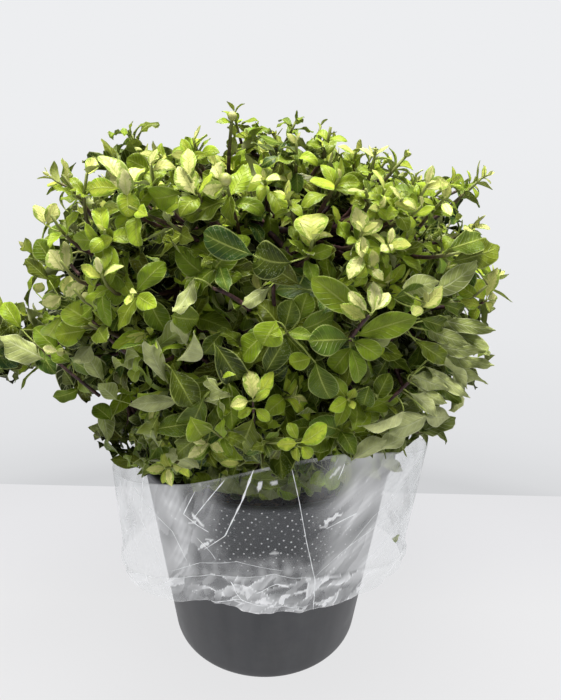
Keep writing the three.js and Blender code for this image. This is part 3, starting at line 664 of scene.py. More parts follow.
# Shoots that give the front its look. Each has its tip and the way it points; how many young leaves,
# how long and how old they are; and how long and old its older leaves are, how far behind the young
# ones they start, how many there are, and by how much wider they open
FEATURES = (
    # Upper left
    ((-39, -128, 420), (-0.1, -0.3, 0.95), 4, 10, 0.05, 14, 0.35, 4, 6, 0.0),
    ((-40, -138, 412), (0.0, -0.9, 0.3), 3, 9, 0.1, 12, 0.3, 3, 5, 0.1),
    ((-112, -122, 400), (-0.35, -0.5, 0.8), 3, 17, 0.03, 15, 0.4, 7, 5, -0.1),
    ((-95, -132, 401), (0.4, -0.3, 0.85), 3, 13, 0.04, 14, 0.4, 7, 5, -0.1),
    ((-76, -140, 400), (0.0, -0.35, 0.95), 5, 18, 0.02, 21, 0.3, 12, 6, 0.15),
    ((-117, -130, 379), (-0.2, -0.4, 0.85), 3, 16, 0.04, 18, 0.42, 9, 6, 0.0),
    ((-59, -141, 406), (0.1, -0.4, 0.9), 4, 11, 0.05, 15, 0.35, 5, 6, 0.0),
    ((-39, -148, 402), (-0.3, -0.5, 0.8), 2, 16, 0.08, 18, 0.35, 6, 5, -0.1),
    ((-20, -150, 399), (-0.1, -0.75, 0.65), 2, 14, 0.06, 22, 0.34, 3, 8, 0.15),
    ((-20, -112, 431), (0.15, -0.2, 1.0), 2, 10, 0.1, 16, 0.3, 2, 3, -0.1),
    ((-43, -150, 390), (-0.7, -0.5, 0.4), 0, 9, 0.2, 24, 0.33, 0, 5, 0.0),
    ((-69, -150, 386), (-0.3, -0.8, 0.3), 1, 14, 0.15, 19, 0.33, 5, 6, 0.1),
    ((-110, -141, 356), (-0.2, -0.4, 0.85), 4, 15, 0.02, 18, 0.42, 9, 5, -0.05),
    ((-88, -150, 366), (-0.1, -0.9, -0.1), 2, 14, 0.2, 18, 0.33, 4, 5, 0.0),
    ((-82, -151, 374), (0.2, -0.7, 0.6), 1, 12, 0.2, 19, 0.32, 4, 6, 0.1),
    ((-102, -147, 342), (-0.2, -0.5, 0.8), 5, 13, 0.03, 20, 0.35, 6, 6, 0.1),
    ((-85, -153, 352), (0.0, -0.5, 0.8), 4, 12, 0.04, 17, 0.4, 5, 5, 0.0),
    ((-69, -158, 344), (-0.1, -0.85, 0.45), 3, 9, 0.12, 23, 0.36, 3, 8, 0.2),
    ((-97, -143, 322), (-0.35, -0.75, 0.55), 1, 12, 0.2, 24, 0.33, 2, 8, 0.15),
    # Upper right
    ((33, -123, 427), (0.1, -0.2, 1.0), 3, 10, 0.05, 13, 0.35, 4, 8, 0.0),
    ((15, -130, 419), (-0.1, -0.4, 0.9), 3, 10, 0.08, 14, 0.35, 5, 7, 0.0),
    ((37, -147, 402), (0.2, -0.8, 0.5), 2, 12, 0.15, 17, 0.28, 3, 7, 0.1),
    ((56, -134, 415), (0.05, -0.3, 0.95), 4, 9, 0.06, 12, 0.4, 4, 7, 0.0),
    ((60, -147, 397), (0.0, -0.6, 0.8), 3, 12, 0.05, 13, 0.3, 4, 7, 0.0),
    ((50, -149, 397), (-0.4, -0.5, 0.7), 3, 11, 0.05, 13, 0.4, 4, 6, 0.0),
    ((57, -151, 388), (0.0, -0.95, 0.1), 2, 11, 0.1, 12, 0.35, 4, 5, 0.0),
    ((69, -149, 393), (0.1, -0.7, 0.7), 4, 11, 0.06, 13, 0.35, 4, 6, 0.0),
    ((80, -145, 389), (0.2, -0.8, 0.6), 4, 12, 0.1, 14, 0.33, 4, 6, 0.0),
    ((84, -137, 400), (0.2, -0.5, 0.85), 4, 10, 0.06, 12, 0.35, 4, 6, 0.0),
    ((94, -136, 393), (0.3, -0.7, 0.6), 4, 11, 0.08, 13, 0.4, 4, 6, 0.0),
    ((126, -92, 402), (0.6, -0.3, 0.75), 4, 13, 0.06, 18, 0.55, 8, 6, 0.1),
    ((106, -132, 364), (0.75, -0.3, 0.3), 0, 9, 0.2, 34, 0.66, 0, 5, -0.2),
    # Middle
    ((49, -156, 377), (0.0, -0.6, 0.75), 5, 12, 0.05, 15, 0.4, 4, 6, 0.0),
    ((63, -156, 371), (0.1, -0.75, 0.6), 5, 9, 0.05, 13, 0.4, 4, 5, 0.0),
    ((50, -160, 367), (0.0, -0.85, 0.4), 4, 11, 0.02, 13, 0.35, 4, 5, 0.0),
    ((55, -160, 359), (0.3, -0.85, 0.0), 3, 11, 0.1, 14, 0.3, 4, 4, 0.0),
    ((24, -160, 373), (0.1, -0.5, 0.85), 4, 16, 0.14, 17, 0.45, 8, 5, -0.1),
    ((55, -165, 337), (0.4, -0.44, 0.8), 0, 9, 0.2, 20, 0.34, 0, 0, 0.0),
    ((85, -151, 340), (0.3, -0.45, 0.85), 5, 12, 0.01, 13, 0.35, 6, 4, 0.0),
    ((130, -116, 343), (0.5, -0.3, 0.8), 5, 12, 0.08, 16, 0.3, 7, 6, 0.0),
    ((12, -160, 325), (-0.1, -0.9, 0.4), 0, 9, 0.2, 20, 0.5, 0, 10, 0.2),
    ((-42, -150, 314), (-0.1, 0.5, 0.85), 0, 9, 0.2, 24, 0.5, 0, 5, 0.2),
    ((-62, -150, 312), (-0.3, 0.4, 0.85), 0, 9, 0.2, 27, 0.6, 0, 5, 0.2),
    # Low
    ((-59, -143, 232), (-0.3, -0.8, 0.5), 3, 10, 0.08, 14, 0.2, 3, 5, 0.1),
    ((48, -156, 285), (0.1, -0.95, 0.3), 3, 8, 0.15, 17, 0.38, 2, 8, 0.2),
)


# Single leaves that give the front its look: the places of stalk and tip, the width, the age, whether
# the upper side (1) or the underside (-1) faces the front, and the wave of its margins in percent of
# its length
PLACED = (
    # The large rosette
    ((51, -160, 333), (27, -163, 355), 17, 0.42, 1, 2),
    ((48, -157, 322), (79, -160, 336), 16, 0.46, 1, 2),
    ((46, -158, 321), (22, -171, 323), 18, 0.54, 1, 2),
    ((47, -158, 320), (66, -168, 313), 16, 0.55, 1, 2),
    ((46, -156, 316), (56, -166, 300), 12, 0.52, 1, 2),
    ((46, -152, 320), (19, -154, 329), 17, 0.64, 1, 2),
    ((51, -156, 330), (42, -150, 351), 14, 0.44, 1, 2),
    ((48, -152, 315), (36, -158, 301), 13, 0.56, 1, 2),
    ((55, -165, 337), (57, -160, 353), 9, 0.02, 1, 2),
    ((53, -165, 338), (43, -168, 348), 8, 0.05, 1, 2),
    ((53, -164, 334), (37, -172, 343), 10, 0.19, 1, 3),
    ((57, -165, 337), (68, -170, 343), 9, 0.08, 1, 2),
    ((56, -165, 338), (64, -160, 348), 8, 0.03, 1, 2),
    ((55, -165, 337), (51, -175, 348), 7, 0.05, 1, 2),
    # Leaves that turn their undersides to the front, low on the right
    ((81, -148, 276), (57, -150, 262), 19, 0.52, -1, 5),
    ((97, -142, 271), (75, -146, 257), 18, 0.55, -1, 5),
    ((96, -136, 267), (112, -132, 264), 14, 0.52, -1, 6),
    ((83, -142, 296), (107, -136, 284), 13, 0.58, -1, 9),
    ((87, -140, 289), (104, -136, 275), 10, 0.6, -1, 9),
    ((83, -142, 285), (102, -138, 273), 10, 0.55, -1, 10),
    ((101, -130, 306), (137, -118, 291), 12, 0.62, -1, 8),
    ((93, -136, 312), (127, -124, 300), 11, 0.64, -1, 8),
    ((96, -134, 304), (123, -126, 290), 11, 0.56, -1, 9),
    ((92, -138, 300), (119, -130, 278), 10, 0.58, -1, 10),
    ((109, -126, 292), (140, -114, 284), 11, 0.6, -1, 9),
    ((102, -128, 318), (135, -114, 306), 11, 0.68, -1, 8),
    ((97, -130, 326), (130, -116, 318), 11, 0.7, -1, 8),
    ((92, -134, 320), (116, -126, 311), 11, 0.66, -1, 8),
    ((100, -128, 334), (124, -118, 325), 10, 0.72, 1, 6),
    ((84, -142, 316), (106, -136, 302), 12, 0.68, 1, 7),
    ((85, -142, 329), (106, -134, 320), 12, 0.7, 1, 6),
    ((98, -134, 291), (114, -128, 273), 9, 0.66, 1, 8),
    ((55, -128, 231), (73, -132, 251), 15, 0.54, -1, 5),
    ((69, -122, 235), (92, -122, 249), 14, 0.56, -1, 6),
    ((58, -140, 271), (78, -140, 282), 12, 0.6, 1, 5),
    ((65, -142, 279), (70, -146, 296), 12, 0.72, 1, 7),
    ((60, -146, 290), (56, -150, 278), 12, 0.74, 1, 6),
    ((114, -122, 290), (126, -116, 275), 8, 0.55, -1, 6),
    # The sprig at the right edge
    ((132, -112, 334), (134, -110, 352), 11, 0.12, 1, 4),
    ((132, -112, 333), (144, -108, 339), 9, 0.06, 1, 3),
    ((132, -112, 332), (145, -108, 329), 8, 0.14, 1, 3),
    ((131, -112, 332), (139, -112, 325), 8, 0.2, 1, 3),
    ((131, -112, 333), (122, -112, 344), 10, 0.3, 1, 3),
    ((129, -112, 330), (117, -114, 332), 9, 0.27, 1, 3),
    ((126, -112, 335), (115, -114, 342), 11, 0.4, 1, 4),
    ((127, -112, 329), (124, -116, 322), 8, 0.34, 1, 3),
    # Olive leaves on the right
    ((103, -128, 358), (137, -106, 361), 18, 0.74, 1, 5),
    ((99, -130, 365), (128, -112, 370), 16, 0.78, 1, 4),
    ((92, -138, 343), (119, -124, 350), 14, 0.68, -1, 6),
    ((72, -150, 346), (92, -142, 350), 14, 0.64, -1, 5),
    ((68, -150, 341), (86, -145, 348), 13, 0.66, 1, 4),
    ((119, -112, 356), (117, -112, 338), 15, 0.78, 1, 3),
    # Wavy and dark leaves in the middle and low down
    ((-5, -160, 275), (-12, -154, 248), 26, 0.62, 1, 6),
    ((14, -158, 361), (-7, -162, 361), 21, 0.86, 1, 3),
    ((-5, -158, 364), (-32, -160, 372), 17, 0.84, 1, 4),
    ((19, -152, 348), (-1, -158, 361), 15, 0.82, 1, 3),
    ((-26, -162, 319), (-9, -164, 295), 18, 0.88, 1, 5),
    ((1, -158, 300), (10, -160, 320), 16, 0.84, 1, 3),
    ((-32, -158, 287), (-42, -150, 255), 18, 0.76, 1, 7),
    ((-40, -160, 275), (-32, -162, 260), 17, 0.44, 1, 4),
    ((-59, -150, 271), (-74, -140, 241), 16, 0.66, 1, 7),
    ((7, -160, 331), (0, -164, 319), 18, 0.5, 1, 3),
    ((1, -156, 322), (-13, -158, 311), 18, 0.6, 1, 4),
    ((-46, -160, 307), (-29, -168, 324), 18, 0.5, -1, 1),
    ((-52, -154, 291), (-67, -160, 321), 13, 0.56, -1, 10),
    ((-36, -156, 352), (-43, -160, 331), 11, 0.6, -1, 9),
    ((-50, -158, 303), (-37, -164, 281), 17, 0.82, 1, 5),
    ((-16, -158, 286), (-35, -164, 299), 13, 0.6, -1, 8),
    ((-34, -156, 283), (-15, -162, 280), 16, 0.62, -1, 7),
    ((-47, -150, 280), (-74, -154, 278), 12, 0.56, -1, 8),
    ((3, -154, 347), (-11, -162, 339), 10, 0.6, -1, 9),
    ((-49, -156, 331), (-35, -162, 330), 17, 0.7, 1, 7),
    ((-68, -150, 342), (-55, -154, 359), 12, 0.62, 1, 7),
    ((-41, -120, 218), (-57, -136, 243), 15, 0.56, -1, 7),
    ((-65, -148, 260), (-38, -152, 268), 14, 0.76, 1, 6),
    ((-30, -150, 261), (-57, -142, 243), 14, 0.74, 1, 6),
    ((-22, -150, 322), (-32, -156, 311), 12, 0.78, 1, 6),
    ((19, -156, 325), (37, -160, 332), 17, 0.68, 1, 2),
    ((11, -154, 324), (15, -158, 340), 14, 0.78, 1, 2),
    ((19, -154, 329), (21, -158, 344), 13, 0.62, 1, 2),
    ((28, -152, 329), (29, -156, 342), 12, 0.66, 1, 2),
    ((28, -158, 308), (34, -160, 286), 17, 0.72, 1, 3),
    ((26, -158, 310), (15, -162, 307), 11, 0.42, 1, 3),
    # Two yellow whorls low in the middle
    ((-5, -165, 288), (-6, -166, 305), 10.5, 0.12, 1, 3),
    ((-4, -165, 288), (6, -164, 303), 8, 0.28, 1, 4),
    ((-7, -165, 287), (-16, -170, 288), 8.5, 0.12, 1, 3),
    ((-4, -165, 287), (2, -170, 295), 5, 0.32, 1, 3),
    ((-5, -163, 282), (-13, -168, 280), 6, 0.36, 1, 3),
    ((-4, -163, 282), (4, -168, 278), 7, 0.36, 1, 3),
    ((21, -160, 260), (36, -163, 269), 12, 0.33, 1, 4),
    ((20, -160, 262), (15, -160, 272), 7, 0.36, 1, 3),
    ((20, -160, 260), (9, -164, 261), 8, 0.26, 1, 4),
    ((22, -160, 258), (29, -164, 253), 9, 0.34, 1, 4),
    ((20, -160, 258), (18, -164, 251), 8, 0.3, 1, 4),
    # Leaves that hang over the rim inside the film
    ((-40, -84, 203), (-28, -98, 184), 17, 0.6, -1, 5),
    ((-28, -88, 204), (-15, -103, 186), 22, 0.56, -1, 4),
    ((-13, -90, 206), (-4, -104, 185), 22, 0.53, -1, 4),
    ((2, -90, 206), (8, -104, 185), 23, 0.55, -1, 5),
    ((18, -90, 206), (22, -104, 187), 20, 0.56, -1, 5),
    ((-17, -96, 198), (16, -104, 200), 14, 0.66, 1, 5),
    ((30, -90, 207), (34, -101, 188), 16, 0.56, -1, 4),
    ((40, -92, 205), (36, -101, 193), 12, 0.42, 1, 3),
    ((51, -92, 208), (45, -98, 192), 13, 0.44, 1, 3),
    ((57, -86, 213), (59, -92, 193), 15, 0.55, -1, 5),
    ((66, -76, 196), (86, -76, 191), 14, 0.5, -1, 5),
    ((88, -70, 198), (101, -63, 189), 12, 0.5, -1, 5),
    ((-33, -98, 192), (-53, -94, 196), 14, 0.66, 1, 6),
    ((68, -86, 192), (50, -94, 190), 12, 0.66, 1, 5),
    ((-43, -86, 198), (-49, -92, 183), 13, 0.62, -1, 5),
    ((9, -96, 200), (-1, -105, 186), 13, 0.64, 1, 5),
    # The spray and the left edge
    ((-159, -64, 271), (-183, -72, 292), 25, 0.6, -1, 5),
    ((-157, -60, 260), (-193, -72, 248), 17, 0.5, 1, 9),
    ((-138, -60, 248), (-152, -70, 242), 14, 0.62, 1, 7),
    ((-141, -62, 251), (-149, -68, 268), 14, 0.66, -1, 3),
    ((-122, -64, 238), (-115, -72, 213), 16, 0.7, -1, 3),
    ((-167, -62, 268), (-183, -70, 279), 8, 0.6, -1, 12),
    ((-175, -60, 292), (-185, -62, 314), 13, 0.5, 1, 3),
    ((-146, -72, 330), (-165, -74, 351), 15, 0.72, 1, 5),
    ((-139, -80, 343), (-147, -84, 358), 15, 0.74, 1, 3),
    ((-103, -116, 314), (-118, -122, 327), 19, 0.4, 1, 3),
    ((-108, -116, 310), (-125, -122, 309), 17, 0.38, 1, 3),
    ((-126, -108, 317), (-140, -108, 298), 13, 0.36, 1, 3),
    ((-107, -114, 300), (-116, -118, 289), 14, 0.56, -1, 3),
    ((-74, -138, 339), (-88, -140, 340), 18, 0.5, 1, 2),
    ((-158, -70, 295), (-173, -70, 284), 13, 0.68, 1, 4),
    ((-144, -74, 281), (-157, -80, 298), 15, 0.66, 1, 4),
    ((-132, -84, 277), (-146, -88, 288), 13, 0.7, 1, 4),
    ((-105, -104, 271), (-113, -110, 291), 15, 0.64, -1, 4),
    ((-112, -96, 275), (-129, -98, 282), 15, 0.7, 1, 5),
    ((-94, -112, 262), (-106, -112, 273), 15, 0.68, -1, 4),
    ((-103, -100, 242), (-113, -98, 253), 13, 0.66, 1, 5),
    ((-62, -128, 403), (-74, -128, 409), 12, 0.46, 1, 3),
    ((-43, -142, 393), (-61, -146, 387), 15, 0.42, 1, 2),
    # Young leaves that stand up at the upper left
    ((-121, -118, 393), (-129, -118, 407), 15, 0.07, 1, 3),
    ((-122, -116, 394), (-136, -118, 394), 7, 0.1, 1, 3),
    ((-111, -118, 393), (-111, -118, 408), 9, 0.13, 1, 4),
    ((-72, -140, 390), (-82, -136, 410), 13, 0.06, 1, 3),
    ((-72, -140, 390), (-71, -136, 410), 11, 0.1, 1, 4),
    ((-72, -142, 390), (-71, -148, 406), 11, 0.03, 1, 2),
    ((-76, -140, 394), (-94, -144, 396), 12, 0.3, 1, 3),
    ((-72, -140, 394), (-71, -148, 382), 14, 0.32, 1, 3),
    ((-36, -146, 392), (-44, -146, 406), 12, 0.08, 1, 3),
    ((-22, -148, 399), (-27, -146, 411), 10, 0.05, 1, 3),
    ((-20, -150, 397), (-30, -156, 395), 10, 0.08, 1, 4),
    ((-126, -118, 372), (-130, -118, 385), 11, 0.08, 1, 3),
    ((-125, -118, 372), (-118, -118, 384), 9, 0.12, 1, 3),
    ((-118, -118, 346), (-124, -120, 358), 14, 0.04, 1, 3),
    ((-117, -118, 347), (-111, -120, 363), 8, 0.06, 1, 3),
    ((-123, -112, 330), (-132, -118, 325), 12, 0.07, 1, 4),
    ((-122, -112, 330), (-118, -112, 342), 9, 0.12, 1, 3),
    ((-121, -112, 329), (-109, -118, 340), 10, 0.06, 1, 4),
    ((-163, -62, 317), (-176, -66, 310), 9, 0.07, 1, 4),
    ((-161, -62, 319), (-157, -62, 327), 8, 0.12, 1, 4),
    ((-138, -90, 287), (-147, -94, 290), 7, 0.04, 1, 3),
)

# Woody twigs that show in front: three points and the thickness of each
STEMS = (
    ((-110, -100, 260), (-139, -78, 269), (-164, -64, 283), 1.2),
    ((-77, -142, 304), (-91, -132, 310), (-103, -120, 317), 1.2),
    ((-106, -126, 346), (-112, -120, 348), (-117, -114, 353), 1.04),
    ((71, -136, 274), (76, -140, 281), (83, -142, 291), 1.2),
    ((46, -156, 320), (48, -161, 327), (54, -165, 336), 1.28),
    ((6, -140, 327), (4, -144, 340), (5, -148, 354), 1.28),
    ((-8, -144, 332), (-15, -150, 341), (-27, -154, 346), 1.28),
    ((126, -104, 321), (127, -110, 329), (132, -112, 333), 1.04),
    ((-5, -150, 266), (-5, -160, 278), (-5, -165, 288), 0.8),
)


def grow_branches(masses):
    """The woody twigs of each mass, from its seed to anchors on an even spiral of directions at about
    three quarters of the crown's reach, for every direction whose anchor is nearest to that mass. The
    spray has its own anchors, round its seed."""
    ways = spiral(150, LOWEST_TIP)
    ends = CROWN_CENTRE + ways * (crown_reach(ways) * RANDOM.uniform(0.62, 0.8, len(ways)))[:, None]
    bearing, flat = from_axis(ends)
    inside = flat < film_radius(bearing, ends[:, 2]) - 8
    keep = (ends[:, 2] > CROWN_FLOOR + 6) & (inside | (ends[:, 2] > 236))
    ends, ways = ends[keep], ways[keep]
    seeds = np.array([mass["seed"] for mass in masses], float)
    owner = np.argmin(np.linalg.norm(ends[:, None] - seeds[:-1], axis=-1), axis=1)
    more = unit(np.array([
        (-1, -0.1, 0.2), (-0.8, -0.5, -0.4), (-0.9, 0.4, 0.5), (-0.2, -0.6, 0.7), (-0.3, 0.5, -0.7)]))
    ends = np.concatenate([ends, seeds[-1] + more * SPRAY_REACH * 0.35])
    ways = np.concatenate([ways, more])
    owner = np.concatenate([owner, np.full(len(more), len(masses) - 1)])
    bends = (seeds[owner] + ends) / 2 + RANDOM.normal(0, 7, ends.shape) - 3 * ways
    return {"root": seeds[owner], "bend": bends, "tip": ends, "owner": owner}


def shoot_tips():
    """Tips of the shoots, each with the layer it belongs to: in layers under the crown's outline, which
    sinks between its clumps, in its dips and low on both sides, and is rounder behind; a skirt over the
    pot's rim; sprigs that stand out; and the spray's own."""
    tips, layer = [], []
    for level, (count, near, far) in enumerate(LAYERS):
        ways = spiral(count, LOWEST_TIP + 0.04, 1.7)
        ways = unit(ways + RANDOM.normal(0, 0.035, ways.shape))
        x, y, slope = CROWN_R * ways[:, 0], CROWN_R * ways[:, 1], ways[:, 2]
        clump = smooth(-0.9, 0.7, ripples(ways * CROWN_R, 85, 9, 5))
        clump = clump * smooth(-0.8, 0.4, ripples(ways * CROWN_R, 42, 9, 6))
        low_right = smooth(40, 120, x) * smooth(0.1, -0.35, slope)
        low_left = smooth(-30, -100, x) * smooth(-0.04, -0.3, slope)
        behind = smooth(-90, 40, y)
        outline = crown_reach(ways)
        egg = 1 / np.linalg.norm(ways / np.array([CROWN_R, CROWN_R, CROWN_UP]), axis=-1)
        reach = outline + 0.75 * behind * (np.minimum(egg, outline) - outline)
        reach = reach - RANDOM.uniform(near, far, count)
        reach = reach - (32 + 12 * behind) * (1 - clump) * (level < 2) - 14 * low_right - 32 * low_left
        surface = CROWN_CENTRE + ways * outline[:, None]
        to_dip = np.linalg.norm(surface[:, None] - np.array(DIPS, float), axis=-1).min(axis=1)
        reach = reach - 26 * np.exp(-((to_dip / 30) ** 2))
        tips.append(CROWN_CENTRE + ways * reach[:, None])
        layer.append(np.full(count, level))
    # The skirt, a quarter of it in front
    number = np.arange(120)
    bearing = number * GOLDEN_ANGLE
    bearing = np.where(number % 4 == 0, -1.5 + 0.8 * np.sin(bearing), bearing)
    z = RANDOM.uniform(189, 214, len(number))
    spread = np.sqrt(RANDOM.uniform(0.5, 1.0, len(number)))
    tips.append(polar((film_radius(bearing, np.minimum(z, FILM_TOP)) - 6) * spread, bearing, z))
    layer.append(np.full(len(number), SKIRT))
    # The last of the sprigs only widens the outline
    tips.append((SPRIGS - 9 * unit(SPRIGS - CROWN_CENTRE))[:-1])
    layer.append(np.full(len(SPRIGS) - 1, SPRIG))
    # The spray's own, round its seed and back along its branch, down to the crown
    ways = unit(RANDOM.normal(0, 1, (SPRAY_SHOOTS, 3)) + np.array([-0.5, 0, 0]))
    out = RANDOM.uniform(0.3, 0.65, (SPRAY_SHOOTS, 1)) * np.array([1, 0.8, 0.75])
    tips.append(np.array(SPRAY_SEED) + ways * SPRAY_REACH * out)
    t = RANDOM.uniform(0, 1, (SPRAY_SHOOTS, 1))
    back = np.array([-150, -14, 256]) * (1 - t) + np.array([-196, -34, 276]) * t
    tips.append(back + RANDOM.normal(0, 11, (SPRAY_SHOOTS, 3)))
    layer.append(np.zeros(2 * SPRAY_SHOOTS))
    return np.concatenate(tips), np.concatenate(layer)


def turned_away(tips):
    """How far a shoot shows its underside, from 0 to 1: those low on the right lean back and away."""
    x, y, z = tips.T
    return smooth(25, 85, x) * smooth(345, 290, z) * smooth(20, -60, y) * smooth(216, 226, z)


def grow_shoots(masses, branches):
    """The leafy shoots: each leaves the branch whose end is nearest to its tip, at a random share of
    the branch, and bends from there to a way that points out and up. Only the spray's shoots grow from
    its branches. Featured shoots come last, and others keep their distance from them."""
    tips, layer = shoot_tips()
    own_tips, own_ways = (np.array([feature[i] for feature in FEATURES], float) for i in (0, 1))
    bearing, flat = from_axis(tips)
    outside = flat > film_radius(bearing, tips[:, 2]) - 6
    keep = np.where(outside, tips[:, 2] > film_top(bearing) + 8, tips[:, 2] > CROWN_FLOOR + 3)
    room = np.linalg.norm(tips[:, None] - own_tips, axis=-1).min(axis=1)
    keep &= (room > FEATURE_ROOM) | (layer == 2)
    tips, layer = tips[keep], layer[keep]
    out = unit(tips - CROWN_CENTRE)
    rise = unit(out + np.array([0, 0, 0.4]) + RANDOM.normal(0, 0.32, tips.shape))
    away = turned_away(tips)[:, None]
    back = np.array([0.5, 0.55, 0.65]) + RANDOM.normal(0, 0.2, tips.shape)
    rise = unit(rise * (1 - away) + away * back)
    tips = np.concatenate([tips, own_tips])
    layer = np.concatenate([layer, np.full(len(own_tips), FEATURED)])
    rise = np.concatenate([rise, unit(own_ways)])
    gap = np.linalg.norm(tips[:, None] - branches["tip"], axis=-1)
    gap = gap + 1000 * ((tips[:, :1] < -188) != (branches["owner"] == len(masses) - 1))
    branch = np.argmin(gap, axis=1)
    share = RANDOM.uniform(0.55, 1.0, len(tips))
    root = bezier(*(branches[key][branch] for key in CURVE), share)
    span = np.linalg.norm(tips - root, axis=-1, keepdims=True)
    bend = tips - rise * span * RANDOM.uniform(0.4, 0.6, (len(tips), 1))
    owner = branches["owner"][branch]
    return {"root": root, "bend": bend, "tip": tips, "layer": layer, "span": span[:, 0], "owner": owner}


def plan_shoots(shoots):
    """What grows on each shoot, in the order of FEATURES. Shoots are fresher at the top and on the left,
    smaller at the upper right, and older the deeper they lie; the darkest ages of the deep ones are
    painted shade."""
    n, layer, tips = len(shoots["tip"]), shoots["layer"], shoots["tip"]
    x, y, z = tips.T
    away = turned_away(tips)
    fresh = 0.16 + 0.55 * smooth(330, 415, z) + 0.14 * smooth(20, -150, x) - 0.1 * smooth(260, 200, z)
    fresh = (fresh + 0.2 * smooth(10, 60, x) * smooth(350, 420, z)) * (1 - away)
    is_fresh = (RANDOM.random(n) < fresh) & (layer < 1) | (layer == SPRIG)
    small = (1 - 0.2 * smooth(360, 400, z)) * (1 - 0.25 * smooth(40, 70, x) * smooth(350, 380, z))
    size = small * np.where(layer == 1, 1.15, np.where(layer == 2, 1.3, 1.0)) * (1 + 0.35 * away)
    wavy_side = smooth(20, -60, x) * smooth(385, 345, z) * smooth(20, -60, y)
    size = np.where((x < -150) | (layer == SKIRT), size * 1.25, size) * (1 + 0.22 * wavy_side)
    young = np.where(is_fresh, RANDOM.integers(2, 6, n), 0)
    young_length = RANDOM.uniform(12, 18, n) * small
    young_age = RANDOM.uniform(0.0, 0.16, n)
    old_length = RANDOM.uniform(17, 26, n) * size * np.where(RANDOM.random(n) < 0.15, 1.3, 1)
    fresh_age = RANDOM.uniform(0.28, 0.45, n)
    old_age = np.where(is_fresh, fresh_age, RANDOM.uniform(0.38, 0.78, n) + 0.07 * wavy_side)
    # The deep layers take the darkest ages, as painted shade
    old_age = np.where(layer == 1, RANDOM.uniform(0.6, 0.92, n), old_age)
    old_age = np.where(layer == 2, RANDOM.uniform(0.93, 1.0, n), old_age)
    old_age = np.where(away > 0.5, RANDOM.uniform(0.55, 0.7, n), old_age)
    old_age = np.where(layer == SPRIG, 0.8 * old_age, old_age)
    gap = np.where(is_fresh, RANDOM.uniform(2, 9, n), 0)
    old = np.where(layer == SPRIG, 7, RANDOM.integers(7, 11, n))
    wider = RANDOM.normal(0, 0.12, n)
    plan = np.stack([young, young_length, young_age, old_length, old_age, gap, old, wider])
    plan[:, n - len(FEATURES) :] = np.array([feature[2:] for feature in FEATURES]).T
    plan[1, n - len(FEATURES) :] *= 1.3
    return plan


def square_to(along, up):
    """The part of up that is square to along, made as long as 1."""
    return unit(up - along * np.sum(up * along, axis=-1, keepdims=True))


def rolled(along, up, roll):
    """up turned about along, by the angles roll."""
    return unit(np.cos(roll)[..., None] * up + np.sin(roll)[..., None] * np.cross(up, along))


def on_leaf(leaves, share):
    """Points at a share of the length of each leaf, as if it were straight."""
    return leaves["root"] + leaves["along"] * (share * leaves["length"])[:, None]


